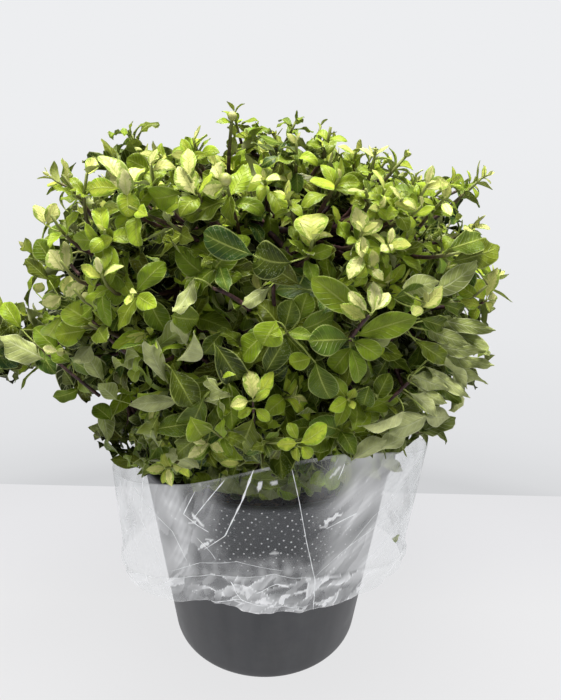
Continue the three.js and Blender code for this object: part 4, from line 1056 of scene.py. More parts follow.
def place_leaves(shoots):
    """The leaves of all shoots as arrays. On each shoot they follow each other by the golden angle: small
    young ones round its tip, then older and larger ones behind. A leaf opens from its shoot by an angle
    that grows with its place, turns its upper side a little to the light, and rolls."""
    n, layer = len(shoots["tip"]), shoots["layer"]
    each = (n, LEAVES_A_SHOOT)
    young, young_length, young_age, old_length, old_age, gap, old, opened = plan_shoots(shoots)[:, :, None]
    place = np.tile(np.arange(LEAVES_A_SHOOT), (n, 1)).astype(float)
    is_young = place < young
    later = place - young
    step = RANDOM.uniform(3.6, 6.4, (n, 1))
    behind = gap + np.interp(later, [0, 5, 6, 13], [0, 6, 7, 14]) + np.maximum(later - 5, 0) * (step - 1)
    back = 0.5 + 1.1 * np.minimum(place, young) + np.where(is_young, 0, behind)
    share = 1 - back / np.maximum(shoots["span"][:, None], 1)
    curve = [shoots[key][:, None] for key in CURVE]
    root, axis = bezier(*curve, share), bezier_way(*curve, np.clip(share, 0, 1))
    lean = np.where(np.abs(axis[..., 2:]) > 0.85, np.array([1.0, 0, 0]), np.array([0, 0, 1.0]))
    side = unit(np.cross(axis, lean))
    other = np.cross(axis, side)
    turn = place * GOLDEN_ANGLE + RANDOM.uniform(0, 2 * math.pi, (n, 1)) + RANDOM.normal(0, 0.2, each)
    radial = np.cos(turn)[..., None] * side + np.sin(turn)[..., None] * other
    age = np.where(is_young, young_age + 0.03 * place, old_age + 0.03 * later)
    age = np.clip(age + RANDOM.normal(0, 0.035, each), 0.01, 1)
    # Where young leaves grew first, the old ones behind them start larger and wider open
    started = np.where(young > 0, 0.25, 0)
    grow_young = np.interp(place, [0, 1, 2, 3, 5], [0.6, 0.85, 1.0, 1.05, 1.1])
    grow_old = np.interp(later, [0, 1, 2, 3, 5, 9], [0.55, 0.74, 0.88, 0.96, 1.04, 1.14])
    grow_old = grow_old + started * np.interp(later, [0, 3], [1, 0])
    length = np.where(is_young, young_length * grow_young, old_length * grow_old)
    length = length * RANDOM.uniform(0.85, 1.15, each)
    away = turned_away(shoots["tip"])[:, None]
    featured = (layer == FEATURED)[:, None]
    ratio = np.where(featured, 0.56, 0.47) + RANDOM.normal(0, 0.06, each) - 0.06 * away
    open_old = np.interp(later, [0, 1, 3, 6, 10], [0.62, 0.8, 1.02, 1.22, 1.42]) + opened + 0.35 * started
    opening = np.where(is_young, 0.25 + 0.19 * place + 0.2 * featured, open_old)
    opening = opening + RANDOM.normal(0, 0.18, each) - 0.25 * away
    along = unit(np.cos(opening)[..., None] * axis + np.sin(opening)[..., None] * radial)
    up = np.sin(opening)[..., None] * axis - np.cos(opening)[..., None] * radial
    light = np.array([0, -0.1, 1.0]) - along * along[..., 2:]
    lit = np.where(featured, 0.15, 1 - away)
    up = unit(up + light * lit[..., None] * RANDOM.uniform(0.0, 0.6, (*each, 1)))
    roll = RANDOM.normal(0, 0.25, each) + RANDOM.normal(0, 0.4, each) * smooth(0.5, 0.85, age) * lit
    curl = np.where(is_young, RANDOM.normal(0.35, 0.4, each), RANDOM.normal(0.7, 0.45, each))
    wave = np.abs(RANDOM.normal(0, 0.095, each)) * smooth(0.3, 0.65, age) + 0.014
    blunt = np.where(is_young, RANDOM.uniform(0.85, 1.15, each), RANDOM.uniform(0.7, 1.15, each))
    keep = (share > 0.04) & (later < old) & (RANDOM.random(each) < 0.95)
    leaves = {
        "root": root, "along": along, "up": rolled(along, up, roll), "length": length,
        "width": length * ratio, "age": age, "curl": curl, "wave": wave, "blunt": blunt + 0.2 * away,
        "fold": RANDOM.uniform(0.1, 0.75, each), "twist": RANDOM.normal(0, 0.5, each) * smooth(0.1, 0.6, age),
        "sweep": RANDOM.normal(0, 0.1, each), "chance": RANDOM.random(each),
    }
    of_shoot = {"owner": shoots["owner"], "layer": layer, "shoot": np.arange(n)}
    for key, value in of_shoot.items():
        leaves[key] = np.tile(value[:, None], (1, LEAVES_A_SHOOT))
    return pick(leaves, keep)


def add_placed(leaves, masses):
    """Joins the placed leaves to the rest. Each turns its shown side to the camera, bar a random roll,
    and belongs to the nearest mass."""
    root, tip = (np.array([leaf[i] for leaf in PLACED], float) for i in (0, 1))
    width, age, side, wave = np.array([leaf[2:] for leaf in PLACED], float).T
    count = len(PLACED)
    along = unit(tip - root)
    roll = RANDOM.normal(0, 1, count) * np.where(side > 0, 0.25, 0.4)
    up = square_to(along, side[:, None] * unit(np.array(CAMERA_PLACE) - root))
    seeds = np.array([mass["seed"] for mass in masses])
    more = {
        "root": root, "along": along, "up": rolled(along, up, roll),
        "length": 1.05 * np.linalg.norm(tip - root, axis=-1), "width": width, "age": age,
        "curl": RANDOM.normal(0.5, 0.35, count), "wave": 0.01 * wave,
        "blunt": np.where(side < 0, 1.05, np.where(age < 0.3, 0.95, 0.76)),
        "fold": RANDOM.uniform(0.3, 0.7, count) + 0.2 * (side < 0),
        "twist": RANDOM.normal(0, 0.35, count), "sweep": RANDOM.normal(0, 0.1, count),
        "chance": RANDOM.random(count) * np.where((age > 0.35) & (age < 0.6), 0.4, 1),
        "layer": np.full(count, SINGLE), "shoot": np.full(count, -1),
        "owner": np.argmin(np.linalg.norm(root[:, None] - seeds, axis=-1), axis=1),
    }
    return {key: np.concatenate([value, more[key]]) for key, value in leaves.items()}


def clear_view(leaves):
    """The leaves without those that would hide a placed leaf from the camera: they stand in front of it
    and the line of sight to one of three spots on it passes within a share of their length from their
    middle."""
    eye = np.array(CAMERA_PLACE)
    single = leaves["layer"] == SINGLE
    keep = np.ones(len(single), bool)
    middle = on_leaf(leaves, 0.5) - eye
    for share in (0.2, 0.5, 0.8):
        spot = (on_leaf(leaves, share) - eye)[single]
        far = np.linalg.norm(spot, axis=-1)
        near = middle @ (spot / far[:, None]).T
        off = np.sqrt(np.maximum(np.sum(middle**2, axis=-1)[:, None] - near**2, 0))
        keep &= ~((off < 0.36 * leaves["length"][:, None]) & (near < far - 0.5)).any(axis=1)
    return pick(leaves, keep | single)


def leaf_stalks(leaves, shoots):
    """Thin stalks that join each placed leaf to the nearest shoot or shown stem."""
    t = np.linspace(0.3, 1, 8)
    spread = bezier(*(shoots[key][:, None] for key in CURVE), t)
    held = np.concatenate([spread.reshape(-1, 3), *(bezier(*np.array(stem[:3], float), t) for stem in STEMS)])
    single = leaves["layer"] == SINGLE
    feet, way = leaves["root"][single], leaves["along"][single]
    near = held[np.argmin(np.linalg.norm(feet[:, None] - held, axis=-1), axis=1)]
    return {"root": near, "bend": (near + feet) / 2 - 2 * way, "tip": feet + 0.8 * way}


def fitting(leaves):
    """The leaves that stay in the crown's reach, over the mix and clear of pot and film, judged by their
    tips and middles. A leaf that meets the film lies along it, and one that only just leaves the reach
    is made shorter."""
    tip = on_leaf(leaves, 1)
    bearing, flat = from_axis(tip)
    outward = polar(1.0, bearing, 0)
    across = np.sum(leaves["along"] * outward, axis=-1)
    meets = (flat > film_radius(bearing, tip[:, 2]) - 6) & (tip[:, 2] < film_top(bearing) + 4)
    pressed = meets & (across > 0) & (leaves["layer"] != SINGLE)
    slid = unit(leaves["along"] - outward * (across + 0.15)[:, None])
    leaves["along"] = np.where(pressed[:, None], slid, leaves["along"])
    leaves["up"] = square_to(leaves["along"], leaves["up"])
    tip = on_leaf(leaves, 1)
    off = tip - CROWN_CENTRE
    past = np.linalg.norm(off, axis=-1) - crown_reach(unit(off))
    spray = np.linalg.norm((tip - np.array(SPRAY_SEED)) / SPRAY_REACH, axis=-1) < 1
    past = np.where(spray, 0, past)
    scale = np.where(past > 0, np.clip(1 - past / leaves["length"], 0.6, 1), 1)
    leaves["length"] = leaves["length"] * scale
    leaves["width"] = leaves["width"] * scale
    keep = past < 0.5 * leaves["length"]
    low = np.where(leaves["layer"] == SINGLE, POT_HEIGHT - 1, POT_HEIGHT + 2)
    for share in (0.0, 0.5, 1.0):
        point = on_leaf(leaves, share)
        bearing, flat = from_axis(point)
        z = point[:, 2]
        over = z > film_top(bearing) + 3
        inside = (flat < film_radius(bearing, z) - 3) & (z > low)
        keep &= over | inside | (flat < POT_RIM_R - 8) & (z > MIX_TOP + 4)
    return pick(leaves, keep)


# The grid of a leaf: the places of its rows from stalk to tip, and of its points from side to side.
# The few leaves nearest to the front have more of both, and those deep in the crown fewer
LEAF_GRIDS = {
    "front": (0.5 - 0.5 * np.cos(np.linspace(0.12, 1, 19) * math.pi), (-1, -0.82, -0.48, 0, 0.48, 0.82, 1)),
    "inner": ((0, 0.14, 0.42, 0.7, 0.9, 1), (-1, 0, 1)),
    "other": ((0, 0.08, 0.18, 0.29, 0.41, 0.53, 0.65, 0.77, 0.87, 0.95, 1), (-1, -0.62, 0, 0.62, 1)),
}
LEAF_HALF_THICKNESS = 0.17
KEEL = 0.3
WAVE_TURN = 6.28


def leaf_shapes(leaves, u, v):
    """Points of all leaves. A leaf is a grid: u runs from stalk to tip and v from side to side. Its
    midrib is an arc that curls by one angle over its length. Its half width is a stalk that widens as
    t^0.95 (1-t)^b, where b makes the tip sharp or blunt; its sides are folded up by an angle, with the
    very margins bent back, and ride a wave that grows with v squared. The whole section turns about the
    midrib as far as u grows, and the midrib sweeps sideways with u squared. The two skins part by a
    third of a millimetre at most, and meet at the margin; the lower one has a keel under the midrib."""
    t = np.clip((u - 0.07) / 0.93, 0, 1)
    blunt = leaves["blunt"][:, None]
    peak = 0.95 / (0.95 + blunt)
    blade = t**0.95 * (1 - t) ** blunt / (peak**0.95 * (1 - peak) ** blunt)
    blade[:, 1:-1] = np.maximum(blade[:, 1:-1], 0.08)
    length = leaves["length"][:, None]
    turn = -leaves["curl"][:, None] * 1.6 * (u**1.5 - 0.12)
    step = np.diff(u, prepend=0)
    ahead, lift = (np.cumsum(part * step, axis=1) * length for part in (np.cos(turn), np.sin(turn)))
    half = (0.5 * leaves["width"][:, None] * blade)[..., None]
    wave, chance, fold = (leaves[key][:, None, None] for key in ("wave", "chance", "fold"))
    phase = WAVE_TURN * (chance * 7.3 + 0.35 * (v > 0))
    waves = np.sin(WAVE_TURN * (1.5 + 1.1 * chance) * u[:, None] + phase)
    wavy = wave * length[..., None] * waves * v**2 * (blade > 0.2)[..., None]
    fold = fold * (1 - 0.5 * u[:, None])
    out = half * v * np.cos(fold)
    rise = half * (np.abs(v) ** 1.3 * np.sin(fold) - 0.16 * v**6) + wavy
    twist = (leaves["twist"][:, None] * u)[..., None]
    out, rise = out * np.cos(twist) - rise * np.sin(twist), rise * np.cos(twist) + out * np.sin(twist)
    out = out + (leaves["sweep"][:, None] * length * u**2)[..., None]
    across = np.cross(leaves["up"], leaves["along"])[:, None, None]
    along, up = leaves["along"][:, None, None], leaves["up"][:, None, None]
    own_up = up * np.cos(turn)[..., None, None] - along * np.sin(turn)[..., None, None]
    spine = leaves["root"][:, None, None] + along * ahead[..., None, None] + up * lift[..., None, None]
    skin = spine + across * out[..., None] + own_up * rise[..., None]
    thick = LEAF_HALF_THICKNESS * (1 - v**2)[:, None]
    keel = np.where(v == 0, KEEL, 0)[:, None] * (1 - u * 0.6)[:, None, None]
    return skin + own_up * thick, skin - own_up * (thick + keel)


def leaf_template(rows, across):
    """Numbers for one leaf: which grid points its own points are, and its faces. The stalk's end and the
    tip are one point each, and the two skins share the margin and have the same diagonals."""
    number = np.full((2, rows, across), -1)
    picks = []
    for skin, row, column in np.ndindex(2, rows, across):
        pole = row in (0, rows - 1)
        margin = pole or column in (0, across - 1)
        if pole and column or skin and margin:
            number[skin, row, column] = number[0, row, 0 if pole else column]
            continue
        number[skin, row, column] = len(picks)
        picks.append((skin, row, across // 2 if pole else column, margin))
    corners, sizes, looks = [], [], []
    for skin, row, column in np.ndindex(2, rows - 1, across - 1):
        quad = [(row, column), (row, column + 1), (row + 1, column + 1), (row + 1, column)]
        face = list(dict.fromkeys(number[skin][at] for at in quad))
        corners += face if skin == 0 else face[:1] + face[:0:-1]
        sizes.append(len(face))
        looks.append(skin)
    return np.array(picks), np.array(corners), np.array(sizes), np.array(looks)


def make_leaves(name, leaves, looks, grid, *nodes):
    """One piece of many leaves, each a closed shell of two skins, upper and lower."""
    u, v = (np.array(part, float) for part in grid)
    u[0] = 0
    picks, corners, sizes, wear = leaf_template(len(u), len(v))
    skin, row, column, margin = picks.T
    count, each = len(leaves["age"]), len(picks)
    points = np.stack(leaf_shapes(leaves, u, v), axis=1)[:, skin, row, column]
    uv = np.tile(np.stack([u[row], 0.5 + 0.5 * v[column]], axis=-1), (count, 1))
    values = {key: np.repeat(leaves[of], each) for key, of in (("age", "age"), ("tone", "chance"))}
    piece = make_mesh(
        name, points, np.arange(count)[:, None] * each + corners, looks, np.tile(sizes, count),
        np.tile(wear, count), uv, values, lambda ends: margin.astype(bool)[ends % each].all(axis=1),
    )
    return dress(piece, "foliage", *nodes)


def fallen_leaf():
    """The one small yellow leaf caught behind the film, low on its right."""
    bearing, z = -0.44, 114
    out = polar(1.0, bearing, 0)
    along = unit(np.array([0.75, 0.2, -0.25]) - 0.2 * out)
    leaf = {
        "root": out * (film_radius(bearing, z) - 5) + np.array([-3, 0, z + 2]), "along": along,
        "up": square_to(along, out), "length": 12, "width": 7.5, "age": 0.22, "curl": 0.6, "wave": 0.03,
        "blunt": 0.8, "fold": 0.4, "twist": 0.2, "sweep": 0.1, "chance": 0.6,
    }
    return {key: np.array([value], float) for key, value in leaf.items()}


# Numbers of the featured shoots that end in a fat bud
BUDDED = (8, 9)


def make_buds(shoots, look):
    """Fat round buds at the tips of some shoots: ellipsoids that end in a blunt point, half sunk among
    the youngest leaves."""
    picked = RANDOM.random(len(shoots["tip"])) < 0.02
    picked &= shoots["layer"] == 0
    picked[len(picked) - len(FEATURES) + np.array(BUDDED)] = True
    tips, out = shoots["tip"][picked], unit(shoots["tip"] - shoots["bend"])[picked]
    turn = np.linspace(0, math.pi, 7)
    size = RANDOM.uniform(2.4, 3.4, len(tips))[:, None]
    middles = tips[:, None] + out[:, None] * (size * (0.95 - 0.95 * np.cos(turn)) - 1.5)[..., None]
    radii = np.maximum(size * np.sin(turn) ** 0.8, 0.25)
    return dress(tubes("buds", middles, radii, 10, [look], {"age": 0 * radii}), "foliage")


def make_twigs(name, curves, foot, head, rings, sides, look, ages):
    """A piece of many twigs: each runs along its curve and tapers from foot to head."""
    t = np.linspace(0, 1, rings)
    points = bezier(*(curves[key][:, None] for key in CURVE), t)
    radii = np.broadcast_to(foot + (head - foot) * t, points.shape[:2])
    age = np.broadcast_to(ages[0] + (ages[1] - ages[0]) * t, points.shape[:2])
    return dress(tubes(name, points, radii, sides, [look], {"age": age}), "bark")


def make_limbs(masses, look):
    """Leader and boughs in one piece each: round tubes whose skin is raised in ridges along them, from
    two waves round the limb that drift with its length, and in knots."""
    t = np.linspace(0, 1, 60)
    limbs = [("trunk", leader_at(t), 6.4 + (3.2 - 6.4) * t + 4.1 * np.exp(-t * 14), 28)]
    t = np.linspace(0, 1, 36)
    for mass in masses:
        if mass["start"] is not None:
            limbs.append((f"bough_{mass['name']}", bezier(*bough_points(mass), t), 3.5 - 1.3 * t, 16))
    for index, (node, middle, radius, sides) in enumerate(limbs):
        turn = np.arange(sides) * 2 * math.pi / sides
        run = np.linspace(0, 1, len(middle))[:, None] * np.linalg.norm(middle[-1] - middle[0])
        ridge = np.sin(5 * turn + run / 9 + index) + 0.6 * np.sin(9 * turn - run / 5)
        knots = ripples(np.stack(np.broadcast_arrays(run, 3 * turn), axis=-1), 12, 6, 40 + index)
        radii = radius[:, None] * (1 + 0.035 * ridge + 0.05 * knots)
        lean = np.array([0.31, 0.95, 0.1])
        dress(tubes(f"bark_of_{node}", middle[None], radii[None], sides, [look], {}, lean), "bark", node)


def make_pot(look):
    """The pot: wall, floor and rolled lip with rounded corners, and a low step round its foot."""
    lip = POT_HEIGHT - LIP_HEIGHT
    rim = pot_outer(POT_HEIGHT) - POT_WALL
    profile = [
        (0.01, 1.2), (70, 1.2), (74, 0.4), (78, 0), (POT_BASE_R - 3, 0), (POT_BASE_R - 1.2, 0.4),
        (POT_BASE_R - 0.2, 1.6), *((pot_outer(z), z) for z in (4, 9, 60, 120, lip - 1)),
        (pot_outer(lip) + 0.3, lip - 0.2), (POT_RIM_R - 0.5, lip + 0.3), (POT_RIM_R, lip + 1.1),
        (POT_RIM_R, POT_HEIGHT - 1.4), (POT_RIM_R - 0.5, POT_HEIGHT - 0.4), (POT_RIM_R - 1.4, POT_HEIGHT),
        (rim + 0.6, POT_HEIGHT), (rim, POT_HEIGHT - 0.6),
        *((pot_outer(z) - POT_WALL, z) for z in (100, POT_FLOOR)), (0.01, POT_FLOOR),
    ]
    points = spun(profile, 160)
    return dress(make_mesh("pot_shell", points, ring_faces(*points.shape[:2]), [look]), "pot", "pot")


def make_mix(look):
    """The potting mix: a lathed body whose top is raised and sunk in crumbs of a few millimetres."""
    rings, foot, gap = 60, 3.3, POT_WALL + 0.6
    reach = pot_outer(MIX_TOP) - gap
    top = [(reach * (1 - i / rings) + 0.01, MIX_TOP) for i in range(rings + 1)]
    points = spun([(0.01, foot), (pot_outer(foot) - gap, foot), *top], 220)
    flat = points[3:, :, :2]
    crumbs = 0.6 * ripples(flat, 7, 9, 7) + 0.4 * ripples(flat, 3, 9, 8)
    points[3:, :, 2] += crumbs * smooth(reach, reach - 6, from_axis(flat)[1])
    piece = make_mesh("potting_mix_crumbs", points, ring_faces(*points.shape[:2]), [look])
    return dress(piece, "mix", "potting_mix")


# Height of the film's lower edge and of the fold that gathers it, by bearing
FILM_HEM = (
    (-3.0, 86), (-2.41, 81), (-2.23, 83), (-1.96, 91), (-1.69, 85), (-1.16, 81), (-0.75, 82), (-0.3, 86),
    (0.3, 78), (1.0, 86), (1.7, 80), (2.5, 85), (3.28, 82),
)
FILM_GATHER = (
    (-3.0, 98), (-2.62, 94), (-2.18, 109), (-1.94, 120), (-1.49, 126), (-1.21, 118), (-0.9, 112),
    (-0.5, 104), (0.1, 108), (1.0, 116), (1.9, 108), (2.6, 114), (3.28, 96),
)

# White glints on the film in front: bearing, height, half length, half width, lean and strength
GLINTS = (
    (-2.0, 168, 7.5, 1.7, -0.85, 0.9), (-2.03, 164, 5, 1.3, 0.5, 0.8), (-1.97, 145, 7.5, 1.6, 0.8, 0.9),
    (-1.93, 151, 4, 1, 0.1, 0.7), (-1.59, 204, 4.5, 1.6, 1.3, 0.8), (-1.52, 206, 3, 1.1, 0.2, 0.6),
    (-1.11, 169, 9, 2.1, 0.45, 0.95), (-1.16, 163, 4.5, 1.3, 0.5, 0.6), (-1.49, 143, 4.5, 1.9, -0.3, 0.55),
    (-1.14, 211, 5.5, 1.3, 0.9, 0.7), (-1.75, 106, 7, 1.9, -0.4, 0.85), (-1.58, 98, 6, 2.1, 0.6, 0.95),
    (-1.41, 112, 6, 1.4, -0.2, 0.85), (-1.29, 104, 8, 1.6, 0.3, 0.75), (-1.74, 94, 7, 1.4, 0.1, 0.75),
    (-1.28, 86, 7, 1.3, 0.2, 0.7), (-1.13, 112, 9, 1.4, 1.2, 0.55), (-0.74, 154, 15, 1.6, 1.0, 0.55),
    (-0.76, 100, 11, 1.6, 0.9, 0.5), (-0.43, 130, 13, 1.6, 1.2, 0.5), (-2.3, 150, 17, 1.6, 1.4, 0.55),
    (-2.5, 130, 15, 1.4, 1.5, 0.5), (-2.17, 112, 9, 1.5, 0.9, 0.6), (-0.9, 186, 10, 1.3, 0.7, 0.45),
)

# Sharp creases pinched in the film: half their width at first and at last, and the bearings and
# heights that they run through
CREASES = (
    (1.0, 0.3, (-1.63, 216), (-1.7, 190), (-1.74, 179), (-1.82, 157), (-1.98, 140)),
    (0.5, 0.35, (-1.8, 206), (-1.92, 186), (-2.03, 167)),
    (0.35, 0.6, (-1.99, 193), (-2.09, 170), (-2.0, 162), (-1.93, 158)),
    (0.28, 0.34, (-1.42, 221), (-1.36, 192), (-1.28, 151), (-1.2, 116), (-1.17, 80)),
    (0.25, 0.25, (-2.62, 92), (-2.18, 107), (-1.94, 118), (-1.49, 124), (-1.21, 116)),
    (0.25, 0.15, (-2.24, 111), (-2.02, 126), (-1.75, 134), (-1.41, 126)),
    (0.2, 0.3, (-1.2, 116), (-0.95, 137), (-0.59, 161)),
    (0.9, 0.3, (-0.94, 168), (-1.03, 165), (-1.15, 160)),
    (0.5, 0.2, (-1.09, 216), (-1.12, 203)),
    (0.4, 0.2, (-2.02, 150), (-1.93, 139), (-1.9, 133)),
    (0.6, 0.2, (-1.8, 114), (-1.76, 103), (-1.7, 96)),
    (0.5, 0.3, (-1.62, 105), (-1.53, 110), (-1.46, 114), (-1.38, 110)),
    (0.5, 0.2, (-1.96, 91), (-1.84, 92), (-1.72, 99), (-1.6, 92), (-1.42, 90), (-1.2, 88)),
    (0.25, 0.25, (-2.5, 184), (-2.2, 150), (-2.12, 124)),
    (0.25, 0.2, (-2.35, 196), (-2.42, 150), (-2.3, 112)),
    (0.25, 0.2, (-0.42, 200), (-0.8, 160), (-0.98, 132)),
    (0.2, 0.25, (-0.36, 168), (-0.62, 136), (-0.8, 112)),
    (0.25, 0.2, (0.4, 170), (0.7, 116), (0.62, 90)), (0.25, 0.2, (1.1, 168), (0.9, 120)),
    (0.25, 0.2, (1.6, 168), (1.8, 112), (1.7, 88)), (0.25, 0.2, (2.3, 168), (2.0, 116)),
    (0.25, 0.2, (2.9, 168), (2.6, 118), (2.7, 90)), (0.25, 0.2, (0.0, 170), (0.3, 110)),
)


def pleats(points, length, count, seed):
    """Flat facets between straight folds, from about -1 to 1: a mean of triangular waves that run in
    random directions."""
    random = np.random.default_rng(seed)
    total = np.zeros(points.shape[:-1])
    for _ in range(count):
        turn = points @ unit(random.normal(size=2)) / (length * random.uniform(0.6, 1.6)) + random.random()
        total += 4 * np.abs(turn % 1 - 0.5) - 1
    return total / math.sqrt(count)


def along_rim(stops, bearing):
    """The height at a bearing on a bent line given by its corners."""
    bearing = np.where(bearing < -3, bearing + 2 * math.pi, bearing)
    return np.interp(bearing, *np.array(stops).T)


def film_map(bearing, z):
    """Places on the film laid flat, in mm, as pairs of run and height."""
    return np.stack(np.broadcast_arrays(FILM_FLAT_R * bearing, z), axis=-1).astype(float)


def film_skin(bearing, z):
    """The outer radius of the film: the sleeve's own, plus large flat facets, and under the gathering
    fold smaller and sharper ones. All stand outwards, so that it stays clear of the pot."""
    flat = film_map(bearing, z)
    gather = z - along_rim(FILM_GATHER, bearing)
    out = 0.9 + 0.8 * pleats(flat, 90, 4, 23) + 0.2 * pleats(flat, 40, 4, 24)
    small = 1.5 + 1.3 * pleats(flat * np.array([0.62, 1.2]), 24, 4, 27) + 0.5 * pleats(flat, 9, 3, 28)
    out = out + smooth(0, -3, gather) * small + 0.8 * np.exp(-np.abs(gather) / 2)
    return film_radius(bearing, z) - FILM_HALF_WALL + 0.3 + np.maximum(out, 0)


def crumples(flat, size, angle, stretch, seed):
    """The play of light on crumpled film. The film is split into facets round scattered points, longer
    in one direction. Each has its own light, which also runs from one side of it to the other. Gives
    the light, and the distance to the ridge between two facets, as a share of the size."""
    random = np.random.default_rng(seed)
    cells = 40
    point, light = random.random((cells, cells, 2)), random.random((cells, cells))
    way = unit(random.normal(size=(cells, cells, 2)))
    spot = turned(flat, angle) / np.array([size * stretch, size]) + 2 * cells
    spot = spot + 0.12 * np.stack([ripples(spot, 2.6, 4, seed + i) for i in (1, 2)], axis=-1)
    first, second, shade = (np.full(spot.shape[:-1], start) for start in (9.0, 9.0, 0.0))
    for step in np.ndindex(3, 3):
        cell = np.floor(spot).astype(int) + np.array(step) - 1
        i, j = np.moveaxis(cell % cells, -1, 0)
        off = spot - cell - point[i, j]
        far = np.linalg.norm(off, axis=-1)
        second = np.where(far < first, first, np.minimum(second, far))
        shade = np.where(far < first, light[i, j] + 0.7 * np.sum(off * way[i, j], axis=-1), shade)
        first = np.minimum(first, far)
    return shade, second - first


def film_haze_and_glint(bearing, z):
    """How white the film looks, real haze and painted light together: hardly so in front, in long
    slanting folds where it stands off at both sides, in small sharp facets under the gathering fold, and
    in a few glints. The light of the folds and facets and the glints are painted reflections and
    highlights. At its sides, seen edge on, and behind, it is softer and fainter."""
    flat = film_map(bearing, z)
    left, right = smooth(-1.72, -2.12, bearing), smooth(-1.36, -0.95, bearing)
    facing = smooth(-2.75, -2.45, bearing) * smooth(-0.4, -0.7, bearing)
    near = 1 - 0.4 * smooth(-0.3, 0.4, np.sin(bearing))
    haze = 0.3 * np.exp(-(((bearing + 2.25) / 0.32) ** 2)) + 0.3 * np.exp(-(((bearing + 0.95) / 0.3) ** 2))
    side = np.zeros(flat.shape[:-1])
    for share, angle, seed in ((left, 1.25, 41), (right, 0.85, 45)):
        drawn = turned(flat, angle) / np.array([3.5, 1])
        broad, fine = pleats(drawn, 15, 4, seed), pleats(drawn, 5, 4, seed + 7)
        light, _ = crumples(flat, 13, angle, 3.2, seed)
        folds = 0.12 + haze + 0.2 * smooth(-0.1, 1.2, light) + 0.15 * broad
        folds = folds + 0.1 * fine * smooth(-0.2, 0.8, broad)
        folds = folds + 0.35 * smooth(0.05, 0.0, np.abs(broad - 0.35)) * smooth(0.0, 0.6, fine)
        side = np.maximum(side, share * folds * near)
    gather = z - along_rim(FILM_GATHER, bearing)
    side = np.maximum(side, (0.28 + 0.12 * pleats(flat, 12, 4, 53)) * smooth(22, 0, gather) * near)
    # Facets under the gathering fold run from dim to bright, and the ridges between some flash white: painted
    # reflections and highlights
    light, ridge = crumples(flat, 11, 0.3, 2.4, 53)
    fine, _ = crumples(flat, 6, 1.0, 2.4, 59)
    strip = 0.14 + 0.5 * smooth(0.0, 1.0, light) + 0.22 * smooth(0.2, 1.1, fine)
    strip = strip + 0.5 * smooth(0.06, 0.0, ridge) * smooth(0.3, 0.7, light)
    strip = strip + 0.6 * smooth(0.9, 1.05, fine) * (light > 0.4)
    strip = strip * (0.5 + 0.5 * facing) * near * (0.82 + 0.35 * smooth(-20, -6, gather))
    below = smooth(0, -3, gather)
    haze_and_glint = np.where(below > 0, np.maximum(strip * below, side * (1 - 0.5 * below)), side)
    # The glints, painted highlights
    for at, height, long, wide, lean, strength in GLINTS:
        across = turned(flat - film_map(at, height), lean) / np.array([long, wide])
        ragged = np.linalg.norm(across, axis=-1) + 0.35 * pleats(flat, 5, 4, int(height))
        haze_and_glint = np.maximum(haze_and_glint, strength * smooth(1.0, 0.75, ragged))
    return np.clip(haze_and_glint, 0, 0.95)


def make_film(outside, inside):
    """The film sleeve: one thin wall round the pot, on a grid of bearing and height that is finer in
    front, from its hem up to its wavy upper edge. Its two edges are a little white too, a painted
    highlight."""
    rows = 84
    front = np.linspace(-2.95, -0.15, 440, endpoint=False)
    bearing = np.concatenate([front, np.linspace(-0.15, 2 * math.pi - 2.95, 110, endpoint=False)])
    bearing = np.where(bearing > math.pi, bearing - 2 * math.pi, bearing)
    share = np.linspace(0, 1, rows)[:, None]
    low = along_rim(FILM_HEM, bearing)
    high = film_top(bearing) + 1.6 * pleats(film_map(bearing, 0), 40, 3, 21) - 1.5
    z = low + (high - low) * share
    # The rows run up the outer face and down the inner one
    order = np.concatenate([np.arange(rows), np.arange(rows)[::-1]])
    inner = np.arange(2 * rows) >= rows
    z = z[order]
    points = polar(film_skin(bearing, z) - FILM_SKIN * inner[:, None], bearing, z)
    # A painted highlight along the upper and lower edges
    rims = np.maximum(smooth(0.978, 0.995, share), 0.7 * smooth(0.02, 0.006, share))[order]
    haze_and_glint = film_haze_and_glint(np.broadcast_to(bearing, z.shape), z)
    haze_and_glint = np.maximum(haze_and_glint, rims * (0.12 + 0.3 * np.sin(9 * bearing) ** 2))
    dotted = smooth(-1.98, -1.84, bearing) * smooth(-0.8, -1.0, bearing)
    dotted = dotted * smooth(122, 128, z) * smooth(186, 176, z)
    corners = ring_faces(2 * rows + 1, len(bearing)) % (2 * rows * len(bearing))
    look_of = np.repeat(np.arange(2 * rows) >= rows - 1, len(bearing)).astype(int)
    uv = film_map(bearing, z).reshape(-1, 2) + np.array([400, 0])
    piece = make_mesh(
        "clear_film", points, corners, [outside, inside], None, look_of, uv,
        {"haze_and_glint": haze_and_glint.ravel(), "dotted": dotted.ravel()},
    )
    return dress(piece, "film", "film_sleeve")


def make_creases(look):
    """The sharp creases of the film: thin ridges along bent lines on its skin, each from its own first
    width to its last. Their white is partly stress whitening and partly a painted highlight."""
    middles, radii = [], []
    for first, last, *stops in CREASES:
        stops = np.array(stops, float)
        steps = np.linalg.norm(np.diff(film_map(*stops.T), axis=0), axis=-1)
        far = np.concatenate([[0], np.cumsum(steps)])
        walk = np.linspace(0, far[-1], 42)
        bearing, z = (np.interp(walk, far, stops[:, axis]) for axis in (0, 1))
        middles.append(polar(film_skin(bearing, z), bearing, z))
        t = walk / far[-1]
        pinch = 0.75 + 0.25 * np.sin(walk * 0.5 + 9 * first)
        radii.append((first + (last - first) * t) * pinch * np.minimum(1, 12 * np.minimum(t, 1 - t) + 0.25))
    return dress(tubes("creases_of_film", np.array(middles), np.array(radii), 4, [look], {}), "film")


